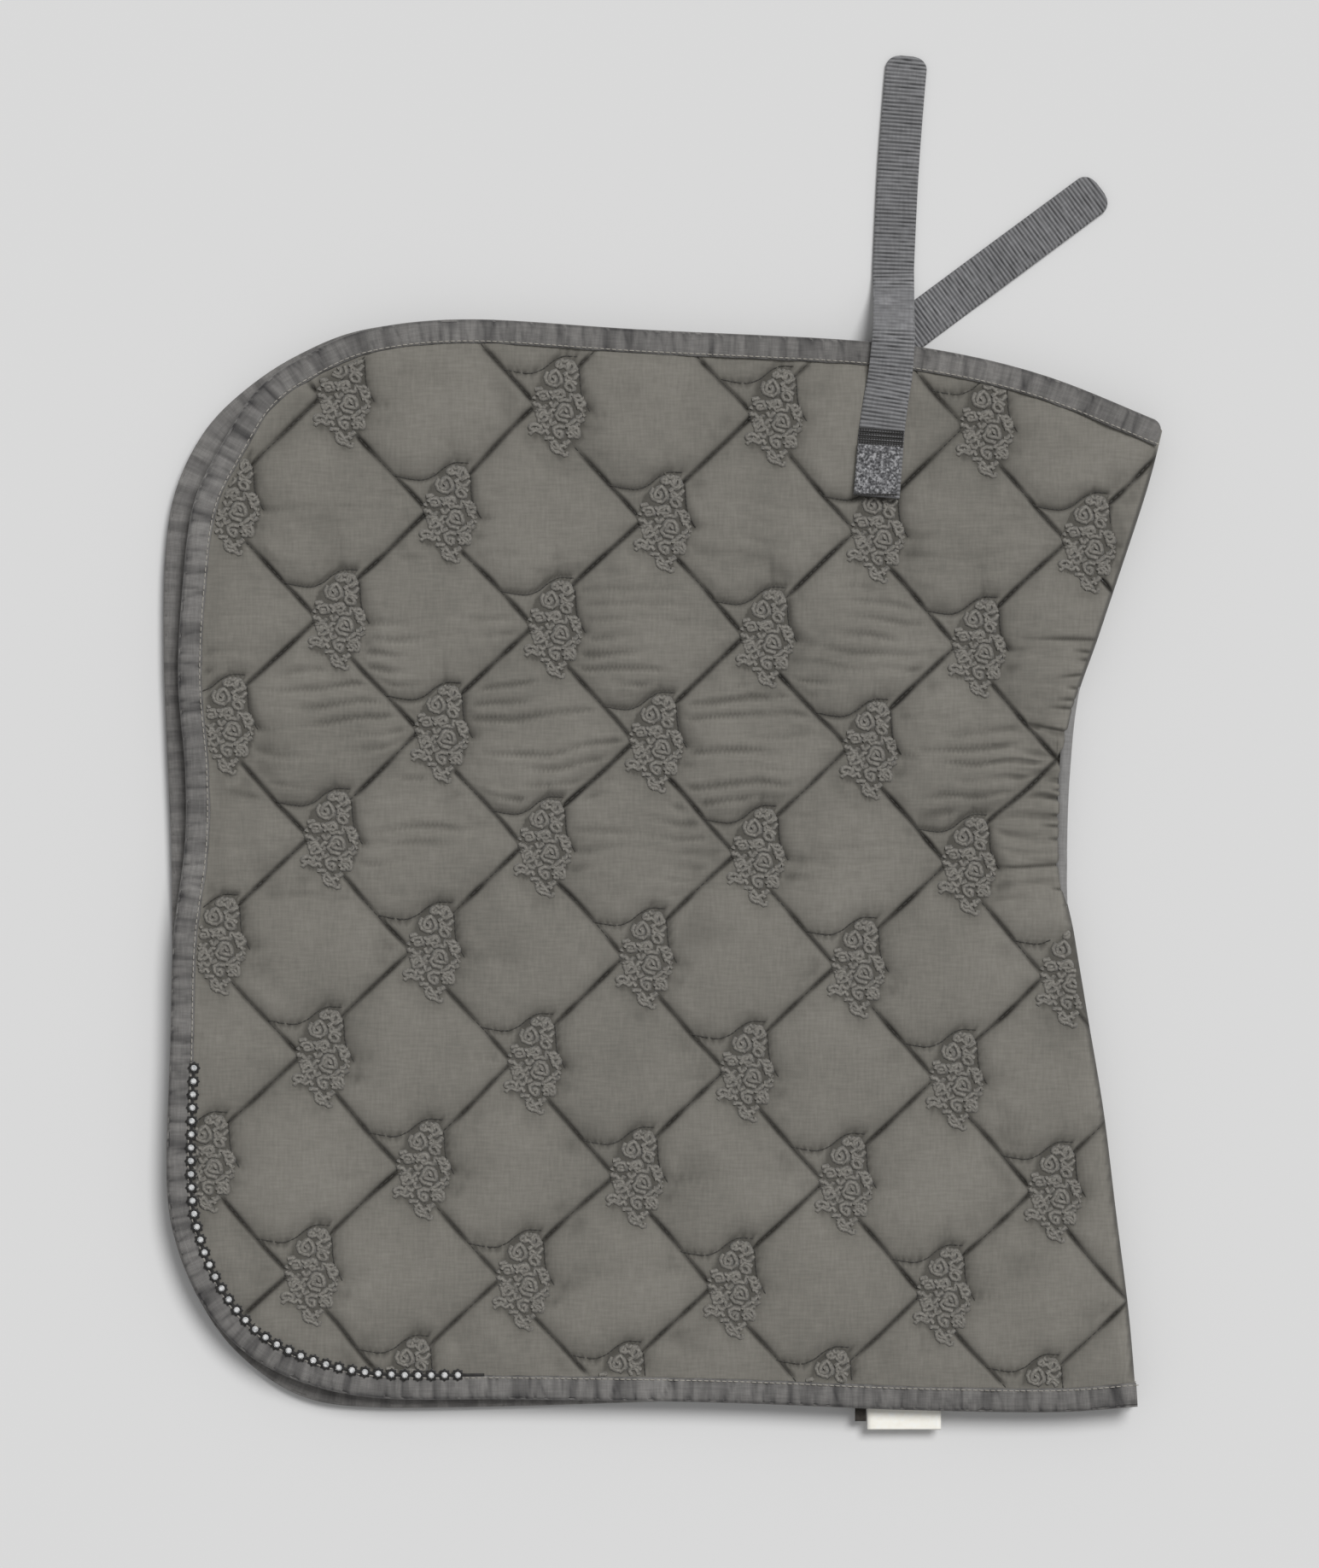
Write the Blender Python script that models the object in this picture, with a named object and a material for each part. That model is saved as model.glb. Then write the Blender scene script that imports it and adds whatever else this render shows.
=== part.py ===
"""A quilted saddle pad folded flat at its spine, modelled in metres with +Z up.

The pad lies on its right half's outer cover, with the left half folded over on top of it.
+X is the spine, +Y the front of the pad, and -X the lower edge that hangs down on the horse.
The origin is on the underside, in the middle of the pad.
"""

from math import cos, pi, sin, sqrt

import bmesh
import bpy
from mathutils import Vector

MM = 0.001
GAP = 0.3

# Layers of one half, from its outer cover to its lining.
COVER_T = 3.4
WADDING_T = 4.6
LINING_T = 2.2
HALF_T = COVER_T + WADDING_T + LINING_T + 2 * GAP
FOLDED_T = 2 * HALF_T + 2 * GAP

# The rim, where the layers are squeezed together inside the edge binding.
BINDING_W = 13.2
BINDING_T = 1.0
BINDING_H = 6.0
RIM_FLAT = 18.5
RIM_LAP = 1.0
FIELD_INSET = 30.0
CORNER_REACH = FIELD_INSET + 6.0
WADDING_MARGIN = 0.6
WADDING_RIM = RIM_FLAT + 3.0
SPINE_TAPE_T = 1.5
SPINE_TAPE_SHORT = 1.0
SPINE_INSET = SPINE_TAPE_T + GAP

# The line that the upper half opens on, just inside the narrowest place of the spine.
FOLD_X = 217.6

# Straps and the small pieces on them.
WEBBING_W = 25.0
WEBBING_T = 1.3
PATCH_T = 0.9
FLOOR_CLEAR = 0.1
PATCH_Z = FLOOR_CLEAR + PATCH_T / 2
TIP_REACH = 6.0
TIP_STEPS = (1.0, 0.55, 0.22, 0.0)
TIP_BLUNT = 1.5
TIP_FULLNESS = 0.75
LABEL_T = 0.8
TAB_T = 0.6

# Bead trim at the rear lower corner.
BEAD_COUNT = 38
BEAD_PITCH = 7.2
BEAD_INSET = 15.6
BEAD_R = 2.0
BEAD_FLATTEN = 0.8
CORD_PART = 0.45
BEAD_CLEAR = 0.2
BEAD_SIDES = 6
BEAD_TRIM_START_Y = -111.9

# Outlines, walked from the front end of the spine round the lower edge to its rear end.
FRONT_EDGE = [
    (277.1, 243.5), (213.8, 269.0), (157.2, 283.2), (100.5, 289.8),
    (-12.7, 295.5), (-107.1, 301.1),
]
LEFT_LOWER_EDGE = [
    (-165.0, 295.0), (-201.5, 279.0), (-225.1, 261.5), (-243.1, 233.6), (-259.6, 199.2),
    (-266.0, 150.0), (-268.1, 100.1), (-264.3, 52.9), (-264.5, 10.0), (-270.9, -41.5),
    (-272.5, -100.0), (-274.5, -173.7), (-268.6, -211.5), (-253.5, -244.5),
    (-229.9, -270.5), (-196.8, -287.0), (-154.3, -295.0), (-83.5, -295.5),
]
RIGHT_LOWER_EDGE = [
    (-165.0, 296.5), (-203.0, 282.0), (-233.0, 262.0), (-255.0, 239.0), (-270.5, 207.0),
    (-276.3, 170.0), (-277.1, 120.0), (-275.6, 71.7), (-273.0, 10.0), (-272.4, -41.5),
    (-272.5, -100.0), (-274.5, -173.7), (-269.6, -211.5), (-256.5, -243.0),
    (-236.0, -271.0), (-204.0, -293.5), (-165.0, -301.0), (-83.5, -300.5),
]
REAR_EDGE = [(34.5, -297.4), (130.0, -301.2), (213.8, -302.6), (262.0, -299.5)]
SPINE = [
    (262.0, -299.5), (257.7, -249.2), (250.6, -192.6), (243.6, -135.9), (234.1, -79.3),
    (225.1, -22.7), (223.3, 5.7), (225.1, 52.9), (230.3, 90.6), (241.7, 128.4),
    (266.7, 203.9), (277.1, 243.5),
]

# Centre lines of the straps.
LEFT_BASE_LINE = [(117.5, 202.5), (119.0, 221.0), (120.4, 238.5)]
LEFT_FREE_LINE = [
    (120.6, 240.1, 23.15), (125.1, 270.0, 23.15), (126.6, 286.0, 23.05), (127.2, 297.0, 21.0),
    (127.5, 306.0, 14.5), (127.7, 316.0, 6.5), (127.8, 325.0, 2.9), (128.0, 336.0, 1.95),
    (130.3, 383.3, 1.95), (133.4, 425.0, 1.95), (135.5, 448.4, 1.95),
]
RIGHT_BASE_LINE = [
    (117.5, 202.5, 1.95), (119.8, 231.0, 1.95), (120.3, 240.0, 1.35), (120.4, 250.0, 0.75),
    (120.6, 262.0, 0.75), (123.0, 277.0, 0.75), (130.3, 290.5, 0.75), (140.7, 299.2, 0.75),
    (149.7, 305.9, 0.75),
]
RIGHT_FREE_LINE = [
    (151.0, 306.9, 0.75), (160.0, 313.6, 0.85), (172.0, 322.5, 1.75), (186.0, 332.9, 1.95),
    (215.0, 354.4, 1.95), (242.8, 375.0, 1.95),
]

# The hollow in the lower cover's underside that the right strap's sewn end lies in.
POCKET_OUTLINE = [
    (104.0, 201.0), (131.5, 201.0), (134.5, 240.0), (135.0, 260.0), (155.0, 295.0),
    (108.0, 295.0), (106.5, 240.0),
]


def clear_scene():
    """Remove whatever the scene starts with."""
    for item in list(bpy.data.objects):
        bpy.data.objects.remove(item, do_unlink=True)


def material(name, colour, roughness, metallic=0.0):
    """A plain Principled material."""
    made = bpy.data.materials.new(name)
    made.use_nodes = True
    shader = made.node_tree.nodes["Principled BSDF"]
    shader.inputs["Base Color"].default_value = (*colour, 1.0)
    shader.inputs["Roughness"].default_value = roughness
    shader.inputs["Metallic"].default_value = metallic
    made.diffuse_color = (*colour, 1.0)
    return made


def curve_through(points, steps):
    """A Catmull-Rom curve through the points, with its ends held straight."""
    points = [Vector(p) for p in points]
    padded = [2 * points[0] - points[1], *points, 2 * points[-1] - points[-2]]
    line = []
    for before, start, end, after in zip(padded, padded[1:], padded[2:], padded[3:]):
        for step in range(steps):
            t = step / steps
            line.append(0.5 * (
                2 * start + (end - before) * t
                + (2 * before - 5 * start + 4 * end - after) * t * t
                + (3 * start - before - 3 * end + after) * t * t * t
            ))
    return line + [points[-1]]


def thinned(line, tolerance):
    """The same line with only the points that keep it within the tolerance."""
    kept = [line[0]]
    last = 0
    for ahead in range(2, len(line)):
        run = line[ahead] - line[last]
        between = line[last + 1:ahead]
        if max(abs(run.cross(p - line[last])) / run.length for p in between) > tolerance:
            last = ahead - 1
            kept.append(line[last])
    return kept + [line[-1]]


def spine_line():
    """The spine from rear to front, straight as far from its ends as a corner can move in."""
    line = thinned(curve_through(SPINE, 10), 0.4)
    inner = [p for p in line if min((p - line[0]).length, (p - line[-1]).length) > CORNER_REACH]
    return [line[0], *inner, line[-1]]


def half_outline(lower_edge):
    """One half's outline, counter-clockwise, and how many of its edges are bound."""
    bound = thinned(curve_through(FRONT_EDGE + lower_edge + REAR_EDGE, 10), 0.4)
    return bound + spine_line()[1:-1], len(bound) - 1


def inset_outline(outline, bound_edges, distance):
    """The outline moved in by a distance along its bound edges, and by the tape along the spine."""
    count = len(outline)
    normals = []
    for index, start in enumerate(outline):
        run = (outline[(index + 1) % count] - start).normalized()
        normals.append(Vector((-run.y, run.x)))
    moved = []
    for index, point in enumerate(outline):
        first, second = normals[index - 1], normals[index]
        near = distance if (index - 1) % count < bound_edges else SPINE_INSET
        far = distance if index < bound_edges else SPINE_INSET
        cross = first.x * second.y - first.y * second.x
        if near == far or abs(cross) < 0.2:
            moved.append(point + (first + second) * (near + far) / 2 / (1 + first.dot(second)))
            continue
        along_x = (near * second.y - far * first.y) / cross
        along_y = (far * first.x - near * second.x) / cross
        moved.append(point + Vector((along_x, along_y)))
    return moved


def new_object(name, bm, finish):
    """A named object from a bmesh, with its faces pointing out."""
    bmesh.ops.recalc_face_normals(bm, faces=bm.faces)
    mesh = bpy.data.meshes.new(name)
    bm.to_mesh(mesh)
    bm.free()
    made = bpy.data.objects.new(name, mesh)
    bpy.context.collection.objects.link(made)
    made.data.materials.append(finish)
    return made


def loft(rings):
    """A closed bmesh through rings of points given in millimetres, flat at both ends."""
    bm = bmesh.new()
    face = bm.faces.new([bm.verts.new(Vector(p) * MM) for p in rings[0]])
    for ring in rings[1:]:
        face = bmesh.ops.extrude_discrete_faces(bm, faces=[face])["faces"][0]
        for vert, point in zip(face.verts, ring):
            vert.co = Vector(point) * MM
    open_edges = [edge for edge in bm.edges if edge.is_boundary]
    bmesh.ops.holes_fill(bm, edges=open_edges, sides=0)
    bmesh.ops.remove_doubles(bm, verts=bm.verts, dist=1e-6)
    return bm


def cut_at_x(bm, x, keep_right):
    """Cut a closed bmesh at x and close the cut."""
    side = -1 if keep_right else 1
    whole = bm.verts[:] + bm.edges[:] + bm.faces[:]
    bmesh.ops.bisect_plane(
        bm, geom=whole, dist=1e-6, plane_co=(x * MM, 0, 0), plane_no=(side, 0, 0),
        clear_outer=True,
    )
    open_edges = [edge for edge in bm.edges if edge.is_boundary]
    bmesh.ops.holes_fill(bm, edges=open_edges, sides=0)


def cut_at_y(bm, keep_front):
    """Keep only the loose piece in front of the middle, or the one behind it."""
    gone = [v for v in bm.verts if (v.co.y > 0) != keep_front]
    bmesh.ops.delete(bm, geom=gone, context="VERTS")


class Half:
    """One half of the pad: its outline, and which way up it lies."""

    def __init__(self, lower_edge, upper):
        self.outline, self.bound_edges = half_outline(lower_edge)
        self.upper = upper

    def ring(self, inset, z, spine_z):
        """The whole outline at an inset.

        The heights, of the bound edge and of the spine edge, are counted from the outer cover.
        """
        moved = inset_outline(self.outline, self.bound_edges, inset)
        levels = [z if index <= self.bound_edges else spine_z for index in range(len(moved))]
        if self.upper:
            levels = [FOLDED_T - level for level in levels]
        return [(p.x, p.y, level) for p, level in zip(moved, levels)]

    def edge(self, inset, z):
        """Only the bound edge, from the front end of the spine to its rear end."""
        return self.ring(inset, z, z)[:self.bound_edges + 1]


def cover_bmesh(half):
    """The outer cover: flat in its field, rising to the squeezed rim."""
    rim_out = HALF_T / 2 - BINDING_H / 2 + BINDING_T + GAP
    rim_in = HALF_T / 2 - GAP / 2
    tuck = BINDING_T + GAP
    return loft([
        half.ring(FIELD_INSET, 0.0, 0.0),
        half.ring(RIM_FLAT, rim_out, 0.0),
        half.ring(tuck, rim_out, 0.0),
        half.ring(tuck, rim_in, 0.0),
        half.ring(RIM_FLAT - RIM_LAP, rim_in, 0.0),
        half.ring(FIELD_INSET, COVER_T, COVER_T),
    ])


def wadding_bmesh(half):
    """The wadding, tapering out before the rim."""
    low = COVER_T + GAP
    high = low + WADDING_T
    return loft([
        half.ring(FIELD_INSET + WADDING_MARGIN, low, low),
        half.ring(WADDING_RIM, HALF_T / 2 + GAP / 2, low),
        half.ring(FIELD_INSET + WADDING_MARGIN, high, high),
    ])


def lining_bmesh(half):
    """The lining, the mirror of the cover on the horse's side."""
    rim_in = HALF_T / 2 + GAP / 2
    rim_out = HALF_T / 2 + BINDING_H / 2 - BINDING_T - GAP
    tuck = BINDING_T + GAP
    low = HALF_T - LINING_T
    return loft([
        half.ring(FIELD_INSET, low, low),
        half.ring(RIM_FLAT - RIM_LAP, rim_in, HALF_T),
        half.ring(tuck, rim_in, HALF_T),
        half.ring(tuck, rim_out, HALF_T),
        half.ring(RIM_FLAT, rim_out, HALF_T),
        half.ring(FIELD_INSET, HALF_T, HALF_T),
    ])


def binding_bmesh(half):
    """The edge binding, a U round the rim along the front, lower and rear edges."""
    low = HALF_T / 2 - BINDING_H / 2
    high = HALF_T / 2 + BINDING_H / 2
    section = [
        (0.0, low), (BINDING_W, low), (BINDING_W, low + BINDING_T),
        (BINDING_T, low + BINDING_T), (BINDING_T, high - BINDING_T),
        (BINDING_W, high - BINDING_T), (BINDING_W, high), (0.0, high),
    ]
    edges = [half.edge(inset, z) for inset, z in section]
    return loft(list(zip(*edges)))


def walked(line, distance):
    """The point at a distance along a line, and the direction there."""
    for start, end in zip(line, line[1:]):
        run = end - start
        if distance <= run.length:
            return start + run.normalized() * distance, run.normalized()
        distance -= run.length
    return line[-1], (line[-1] - line[-2]).normalized()


def bead_trim_bmesh(half):
    """A string of beads round the rear lower corner, as one cord with a bulge at each bead."""
    edge = [Vector(p) for p in half.edge(BEAD_INSET, BEAD_CLEAR + BEAD_R * BEAD_FLATTEN)]
    first = next(i for i, p in enumerate(edge) if p.x < 0 and p.y < BEAD_TRIM_START_Y)
    line = edge[first:]
    rings = []
    for station in range(2 * BEAD_COUNT + 1):
        centre, run = walked(line, station * BEAD_PITCH / 2)
        size = BEAD_R if station % 2 else BEAD_R * CORD_PART
        across = Vector((-run.y, run.x, 0)) * size
        rise = Vector((0, 0, size * BEAD_FLATTEN))
        turns = [2 * pi * side / BEAD_SIDES for side in range(BEAD_SIDES)]
        rings.append([centre + across * cos(turn) + rise * sin(turn) for turn in turns])
    return loft(rings)


def narrowing(to_end):
    """How much narrower each side of a rounded strip end is, this far from its tip."""
    if to_end >= TIP_REACH:
        return 0.0
    depth = TIP_REACH - to_end
    return TIP_REACH - sqrt(TIP_REACH ** 2 - depth ** 2) * TIP_FULLNESS - TIP_BLUNT


def strip_rings(line, width, thickness, round_end=False):
    """Cross-sections of a flat strip along a line; the end may be rounded."""
    rings = []
    last = len(line) - 1
    for index, centre in enumerate(line):
        run = line[min(index + 1, last)] - line[max(index - 1, 0)]
        across = Vector((run.y, -run.x, 0)).normalized()
        up = across.cross(run.normalized())
        side = across * width / 2
        if round_end:
            side -= across * narrowing((line[-1] - centre).length)
        rise = up * thickness / 2
        rings.append([
            centre + side - rise, centre + side + rise,
            centre - side + rise, centre - side - rise,
        ])
    return rings


def rounded_tail(line):
    """A line with extra points near its end, where a rounded end needs them."""
    run = (line[-1] - line[-2]).normalized()
    tail = [line[-1] - run * TIP_REACH * part for part in TIP_STEPS]
    return [p for p in line if (p - line[-1]).length > TIP_REACH + 1.0] + tail


def at_height(points, z):
    """Plan points lifted to one height."""
    return [(x, y, z) for x, y in points]


def webbing(name, points, finish, round_end=False):
    """A run of webbing along a centre line."""
    line = curve_through(points, 3)
    if round_end:
        line = rounded_tail(line)
    return new_object(name, loft(strip_rings(line, WEBBING_W, WEBBING_T, round_end)), finish)


def tape(name, start, end, width, z, thickness, finish):
    """A flat straight tape between two plan points, lying at one height."""
    line = [Vector((*start, z)), Vector((*end, z))]
    return new_object(name, loft(strip_rings(line, width, thickness)), finish)


def plate(name, low, high, finish):
    """A small flat label, from its lowest to its highest corner."""
    bm = bmesh.new()
    bmesh.ops.create_cube(bm, size=1.0)
    size = Vector(high) - Vector(low)
    bmesh.ops.scale(bm, vec=size * MM, verts=bm.verts)
    bmesh.ops.translate(bm, vec=(Vector(low) + Vector(high)) / 2 * MM, verts=bm.verts)
    return new_object(name, bm, finish)


def build_right_half(finishes):
    """The half that lies underneath, whole from its lower edge to the spine."""
    half = Half(RIGHT_LOWER_EDGE, upper=False)
    cover = new_object("right_cover", cover_bmesh(half), finishes["quilt"])
    new_object("right_wadding", wadding_bmesh(half), finishes["wadding"])
    new_object("right_lining", lining_bmesh(half), finishes["lining"])
    new_object("right_edge_binding", binding_bmesh(half), finishes["binding"])
    new_object("right_bead_trim", bead_trim_bmesh(half), finishes["beads"])
    return cover


def build_left_half(finishes):
    """The half on top: the part that opens, and the margin that stays at the spine."""
    half = Half(LEFT_LOWER_EDGE, upper=True)
    makers = (
        ("cover", cover_bmesh, "quilt"),
        ("wadding", wadding_bmesh, "wadding"),
        ("lining", lining_bmesh, "lining"),
    )
    for layer, make, slot in makers:
        opening = make(half)
        cut_at_x(opening, FOLD_X - GAP / 2, keep_right=False)
        new_object(f"left_{layer}", opening, finishes[slot])
        margin = make(half)
        cut_at_x(margin, FOLD_X + GAP / 2, keep_right=True)
        new_object(f"spine_margin_{layer}", margin, finishes[slot])
    binding = binding_bmesh(half)
    cut_at_x(binding, FOLD_X - GAP / 2, keep_right=False)
    new_object("left_edge_binding", binding, finishes["binding"])
    for name, keep_front in (("front_binding_end", True), ("rear_binding_end", False)):
        end = binding_bmesh(half)
        cut_at_x(end, FOLD_X + GAP / 2, keep_right=True)
        cut_at_y(end, keep_front)
        new_object(name, end, finishes["binding"])
    new_object("left_bead_trim", bead_trim_bmesh(half), finishes["beads"])


def build_spine_tape(finishes):
    """The tape sewn over the spine seam, standing along both halves' spine edges."""
    spine = spine_line()
    low, high = SPINE_TAPE_SHORT, FOLDED_T - SPINE_TAPE_SHORT
    rings = []
    last = len(spine) - 1
    for index, point in enumerate(spine):
        run = (spine[min(index + 1, last)] - spine[max(index - 1, 0)]).normalized()
        inner = point + Vector((-run.y, run.x)) * SPINE_TAPE_T
        rings.append([
            (point.x, point.y, low), (point.x, point.y, high),
            (inner.x, inner.y, high), (inner.x, inner.y, low),
        ])
    new_object("spine_tape", loft(rings), finishes["tape"])


def build_left_strap(finishes):
    """The strap on the upper half: sewn base, loop patch, free webbing and its hook tape."""
    base_z = FOLDED_T + GAP + WEBBING_T / 2
    webbing("left_strap_base", at_height(LEFT_BASE_LINE, base_z), finishes["webbing"])
    patch_z = FOLDED_T + 2 * GAP + WEBBING_T + PATCH_T / 2
    tape("left_loop_patch", (117.6, 203.4), (119.7, 229.9), 26.0, patch_z, PATCH_T,
         finishes["loop"])
    webbing("left_strap_webbing", LEFT_FREE_LINE, finishes["webbing"], round_end=True)
    tape("left_hook_tape", (129.0, 345.0), (134.5, 437.0), 20.0, PATCH_Z, PATCH_T,
         finishes["hook"])


def build_right_strap(finishes, cover):
    """The strap on the lower half, let into the underside of its cover."""
    webbing("right_strap_base", RIGHT_BASE_LINE, finishes["webbing"])
    webbing("right_strap_webbing", RIGHT_FREE_LINE, finishes["webbing"], round_end=True)
    tape("right_loop_patch", (117.6, 203.4), (119.7, 229.9), 25.0, PATCH_Z, PATCH_T,
         finishes["loop"])
    tape("right_hook_tape", (188.0, 334.4), (234.0, 368.5), 20.0, PATCH_Z, PATCH_T,
         finishes["hook"])
    depth = FLOOR_CLEAR + PATCH_T + WEBBING_T + 2 * GAP
    rings = [[(x, y, z) for x, y in POCKET_OUTLINE] for z in (-1.0, depth)]
    pocket = new_object("strap_pocket_cutter", loft(rings), finishes["webbing"])
    pocket.hide_render = True
    pocket.display_type = "WIRE"
    cut = cover.modifiers.new("strap_pocket", "BOOLEAN")
    cut.operation = "DIFFERENCE"
    cut.solver = "EXACT"
    cut.object = pocket


def build_labels(finishes):
    """The folded care label and the small size tab, held in the rear edge between the halves."""
    low = HALF_T / 2 + BINDING_H / 2 + GAP
    plate("care_label", (112.9, -312.5, low), (153.9, -288.0, low + LABEL_T), finishes["label"])
    plate("size_tab", (106.0, -308.2, low), (112.5, -288.0, low + TAB_T), finishes["tab"])


def main():
    """Build the whole pad."""
    clear_scene()
    finishes = {
        "quilt": material("quilted_cotton", (0.16, 0.15, 0.135), 0.9),
        "wadding": material("polyester_wadding", (0.8, 0.8, 0.76), 0.95),
        "lining": material("cotton_lining", (0.2, 0.19, 0.17), 0.9),
        "binding": material("bias_binding", (0.17, 0.165, 0.17), 0.85),
        "beads": material("crystal_beads", (0.75, 0.76, 0.8), 0.15),
        "tape": material("seam_tape", (0.3, 0.3, 0.3), 0.8),
        "webbing": material("ribbed_webbing", (0.13, 0.13, 0.135), 0.75),
        "loop": material("loop_tape", (0.2, 0.2, 0.2), 0.95),
        "hook": material("hook_tape", (0.03, 0.03, 0.03), 0.6),
        "label": material("satin_label", (0.85, 0.83, 0.74), 0.5),
        "tab": material("woven_tab", (0.02, 0.02, 0.02), 0.6),
    }
    cover = build_right_half(finishes)
    build_left_half(finishes)
    build_spine_tape(finishes)
    build_left_strap(finishes)
    build_right_strap(finishes, cover)
    build_labels(finishes)


main()
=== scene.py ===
# %% [markdown]
# # A folded, quilted saddle pad
#
# A saddle pad is two padded panels joined along the horse's back. Each panel is a sandwich
# of cover, wadding and lining, quilted through in diamonds and bound along its edge.
# This one lies folded at its spine, so the left half covers the right one.
#
# The imported model already fixes every size, body and hinge. This notebook only makes the
# looks around it, so it starts by loading that model.

# %% Load the frame
import math

import bmesh
import bpy
import numpy as np
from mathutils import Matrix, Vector, noise
from mathutils.bvhtree import BVHTree


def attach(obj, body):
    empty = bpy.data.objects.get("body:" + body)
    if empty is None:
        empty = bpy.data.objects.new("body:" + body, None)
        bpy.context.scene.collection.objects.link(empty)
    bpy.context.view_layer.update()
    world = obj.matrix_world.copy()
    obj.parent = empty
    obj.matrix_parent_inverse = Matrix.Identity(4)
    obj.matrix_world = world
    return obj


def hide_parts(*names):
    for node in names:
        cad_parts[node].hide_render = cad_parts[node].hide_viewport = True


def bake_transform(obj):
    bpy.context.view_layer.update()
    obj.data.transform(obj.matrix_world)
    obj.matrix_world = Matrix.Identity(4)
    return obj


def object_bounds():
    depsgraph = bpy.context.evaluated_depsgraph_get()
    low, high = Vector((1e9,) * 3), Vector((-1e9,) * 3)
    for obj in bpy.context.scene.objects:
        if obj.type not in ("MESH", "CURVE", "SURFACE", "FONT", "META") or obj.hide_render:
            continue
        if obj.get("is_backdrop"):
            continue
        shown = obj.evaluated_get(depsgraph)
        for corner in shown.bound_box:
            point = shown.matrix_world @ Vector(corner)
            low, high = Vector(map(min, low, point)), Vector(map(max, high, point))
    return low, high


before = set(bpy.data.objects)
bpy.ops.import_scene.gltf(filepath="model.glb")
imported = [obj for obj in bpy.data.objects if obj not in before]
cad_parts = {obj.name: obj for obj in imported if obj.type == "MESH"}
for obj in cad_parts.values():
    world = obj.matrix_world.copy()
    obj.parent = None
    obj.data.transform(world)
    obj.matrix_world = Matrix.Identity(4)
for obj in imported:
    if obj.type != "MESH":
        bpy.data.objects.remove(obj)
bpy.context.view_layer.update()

MM = 0.001
print("the frame holds", len(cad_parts), "nodes")

# %% [markdown]
# ## Camera, floor and light
#
# A pad laid out for sale is seen straight from above. A long lens far away keeps its edges
# from spreading. The light is broad: a soft sun from beyond the front edge gives every
# quilted hollow a lit side and a shaded side, and a bright world fills the rest. A sun is
# better than a near lamp here, because it lights the paper floor evenly.

# %% Camera, world, sun and floor
# The view takes in the pad and its straps with a margin, and its scale holds at the cover.
VIEW_TALL = 866.6 * MM
VIEW_CENTRE = (-2.1 * MM, 44.4 * MM)
SEEN_PLANE = 15.0 * MM
CAMERA_UP = 3.0
FLOOR_SIZE = 16.0


def linear(hex_colour):
    """An sRGB hex colour as linear RGBA."""
    values = [int(hex_colour[i:i + 2], 16) / 255 for i in (1, 3, 5)]
    return (*(v / 12.92 if v <= 0.04045 else ((v + 0.055) / 1.055) ** 2.4 for v in values), 1.0)


def linked(name, data):
    """A new object for some data, linked to the scene."""
    made = bpy.data.objects.new(name, data)
    bpy.context.scene.collection.objects.link(made)
    return made


camera_data = bpy.data.cameras.new("studio_camera")
camera_data.sensor_width = 36.0
camera_data.lens = camera_data.sensor_width * CAMERA_UP / VIEW_TALL
camera_data.clip_end = 20.0
camera = linked("studio_camera", camera_data)
camera.location = (*VIEW_CENTRE, CAMERA_UP + SEEN_PLANE)
bpy.context.scene.camera = camera
bpy.context.scene.view_settings.view_transform = "Standard"

SUN_AIM = Vector((-0.40, -0.54, -1.0))
sun_data = bpy.data.lights.new("soft_sun", "SUN")
sun_data.energy = 2.1
sun_data.angle = math.radians(26)
sun = linked("soft_sun", sun_data)
sun.rotation_euler = SUN_AIM.to_track_quat("-Z", "Y").to_euler()

world = bpy.data.worlds.new("studio_world")
world.use_nodes = True
world.node_tree.nodes["Background"].inputs["Color"].default_value = (1.0, 1.0, 1.0, 1.0)
world.node_tree.nodes["Background"].inputs["Strength"].default_value = 0.37
bpy.context.scene.world = world

paper = bpy.data.materials.new("pale_paper")
paper.use_nodes = True
paper.node_tree.nodes["Principled BSDF"].inputs["Base Color"].default_value = linear("#E1E1E1")
paper.node_tree.nodes["Principled BSDF"].inputs["Roughness"].default_value = 0.95
paper.node_tree.nodes["Principled BSDF"].inputs["Specular IOR Level"].default_value = 0.0
floor_bm = bmesh.new()
bmesh.ops.create_grid(floor_bm, x_segments=1, y_segments=1, size=FLOOR_SIZE / 2)
floor_mesh = bpy.data.meshes.new("studio_floor")
floor_bm.to_mesh(floor_mesh)
floor_bm.free()
floor_mesh.materials.append(paper)
linked("studio_floor", floor_mesh)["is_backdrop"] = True
print("camera lens", round(camera_data.lens, 1), "mm")

# %% [markdown]
# ## Materials as recipes
#
# Everything large on a saddle pad is woven, so one recipe with different colours and thread
# spacings covers most of it. One function adds a node with its settings and its links, which
# keeps each material short enough to read. A weave is two sets of fine bands crossed; slubs
# are noise stretched along the thread. Both read the piece's own flat map in metres, so a
# thread spacing means the same on every piece and the pattern follows the cloth.
#
# Creases are also painted darker than the light makes them: painted shade. Each piece stores
# how deep in a crease every point is, and the material reads that.


# %% Node helpers
def node(tree, kind, settings=(), **inputs):
    """Add a node, set its properties, and set or link its inputs by name or number."""
    made = tree.nodes.new(kind)
    for key, value in dict(settings).items():
        setattr(made, key, value)
    for key, value in inputs.items():
        numbered = key[0] == "i" and key[1:].isdigit()
        socket = made.inputs[int(key[1:]) if numbered else key.replace("_", " ")]
        if isinstance(value, bpy.types.NodeSocket):
            tree.links.new(value, socket)
        else:
            socket.default_value = value
    return made


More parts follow.
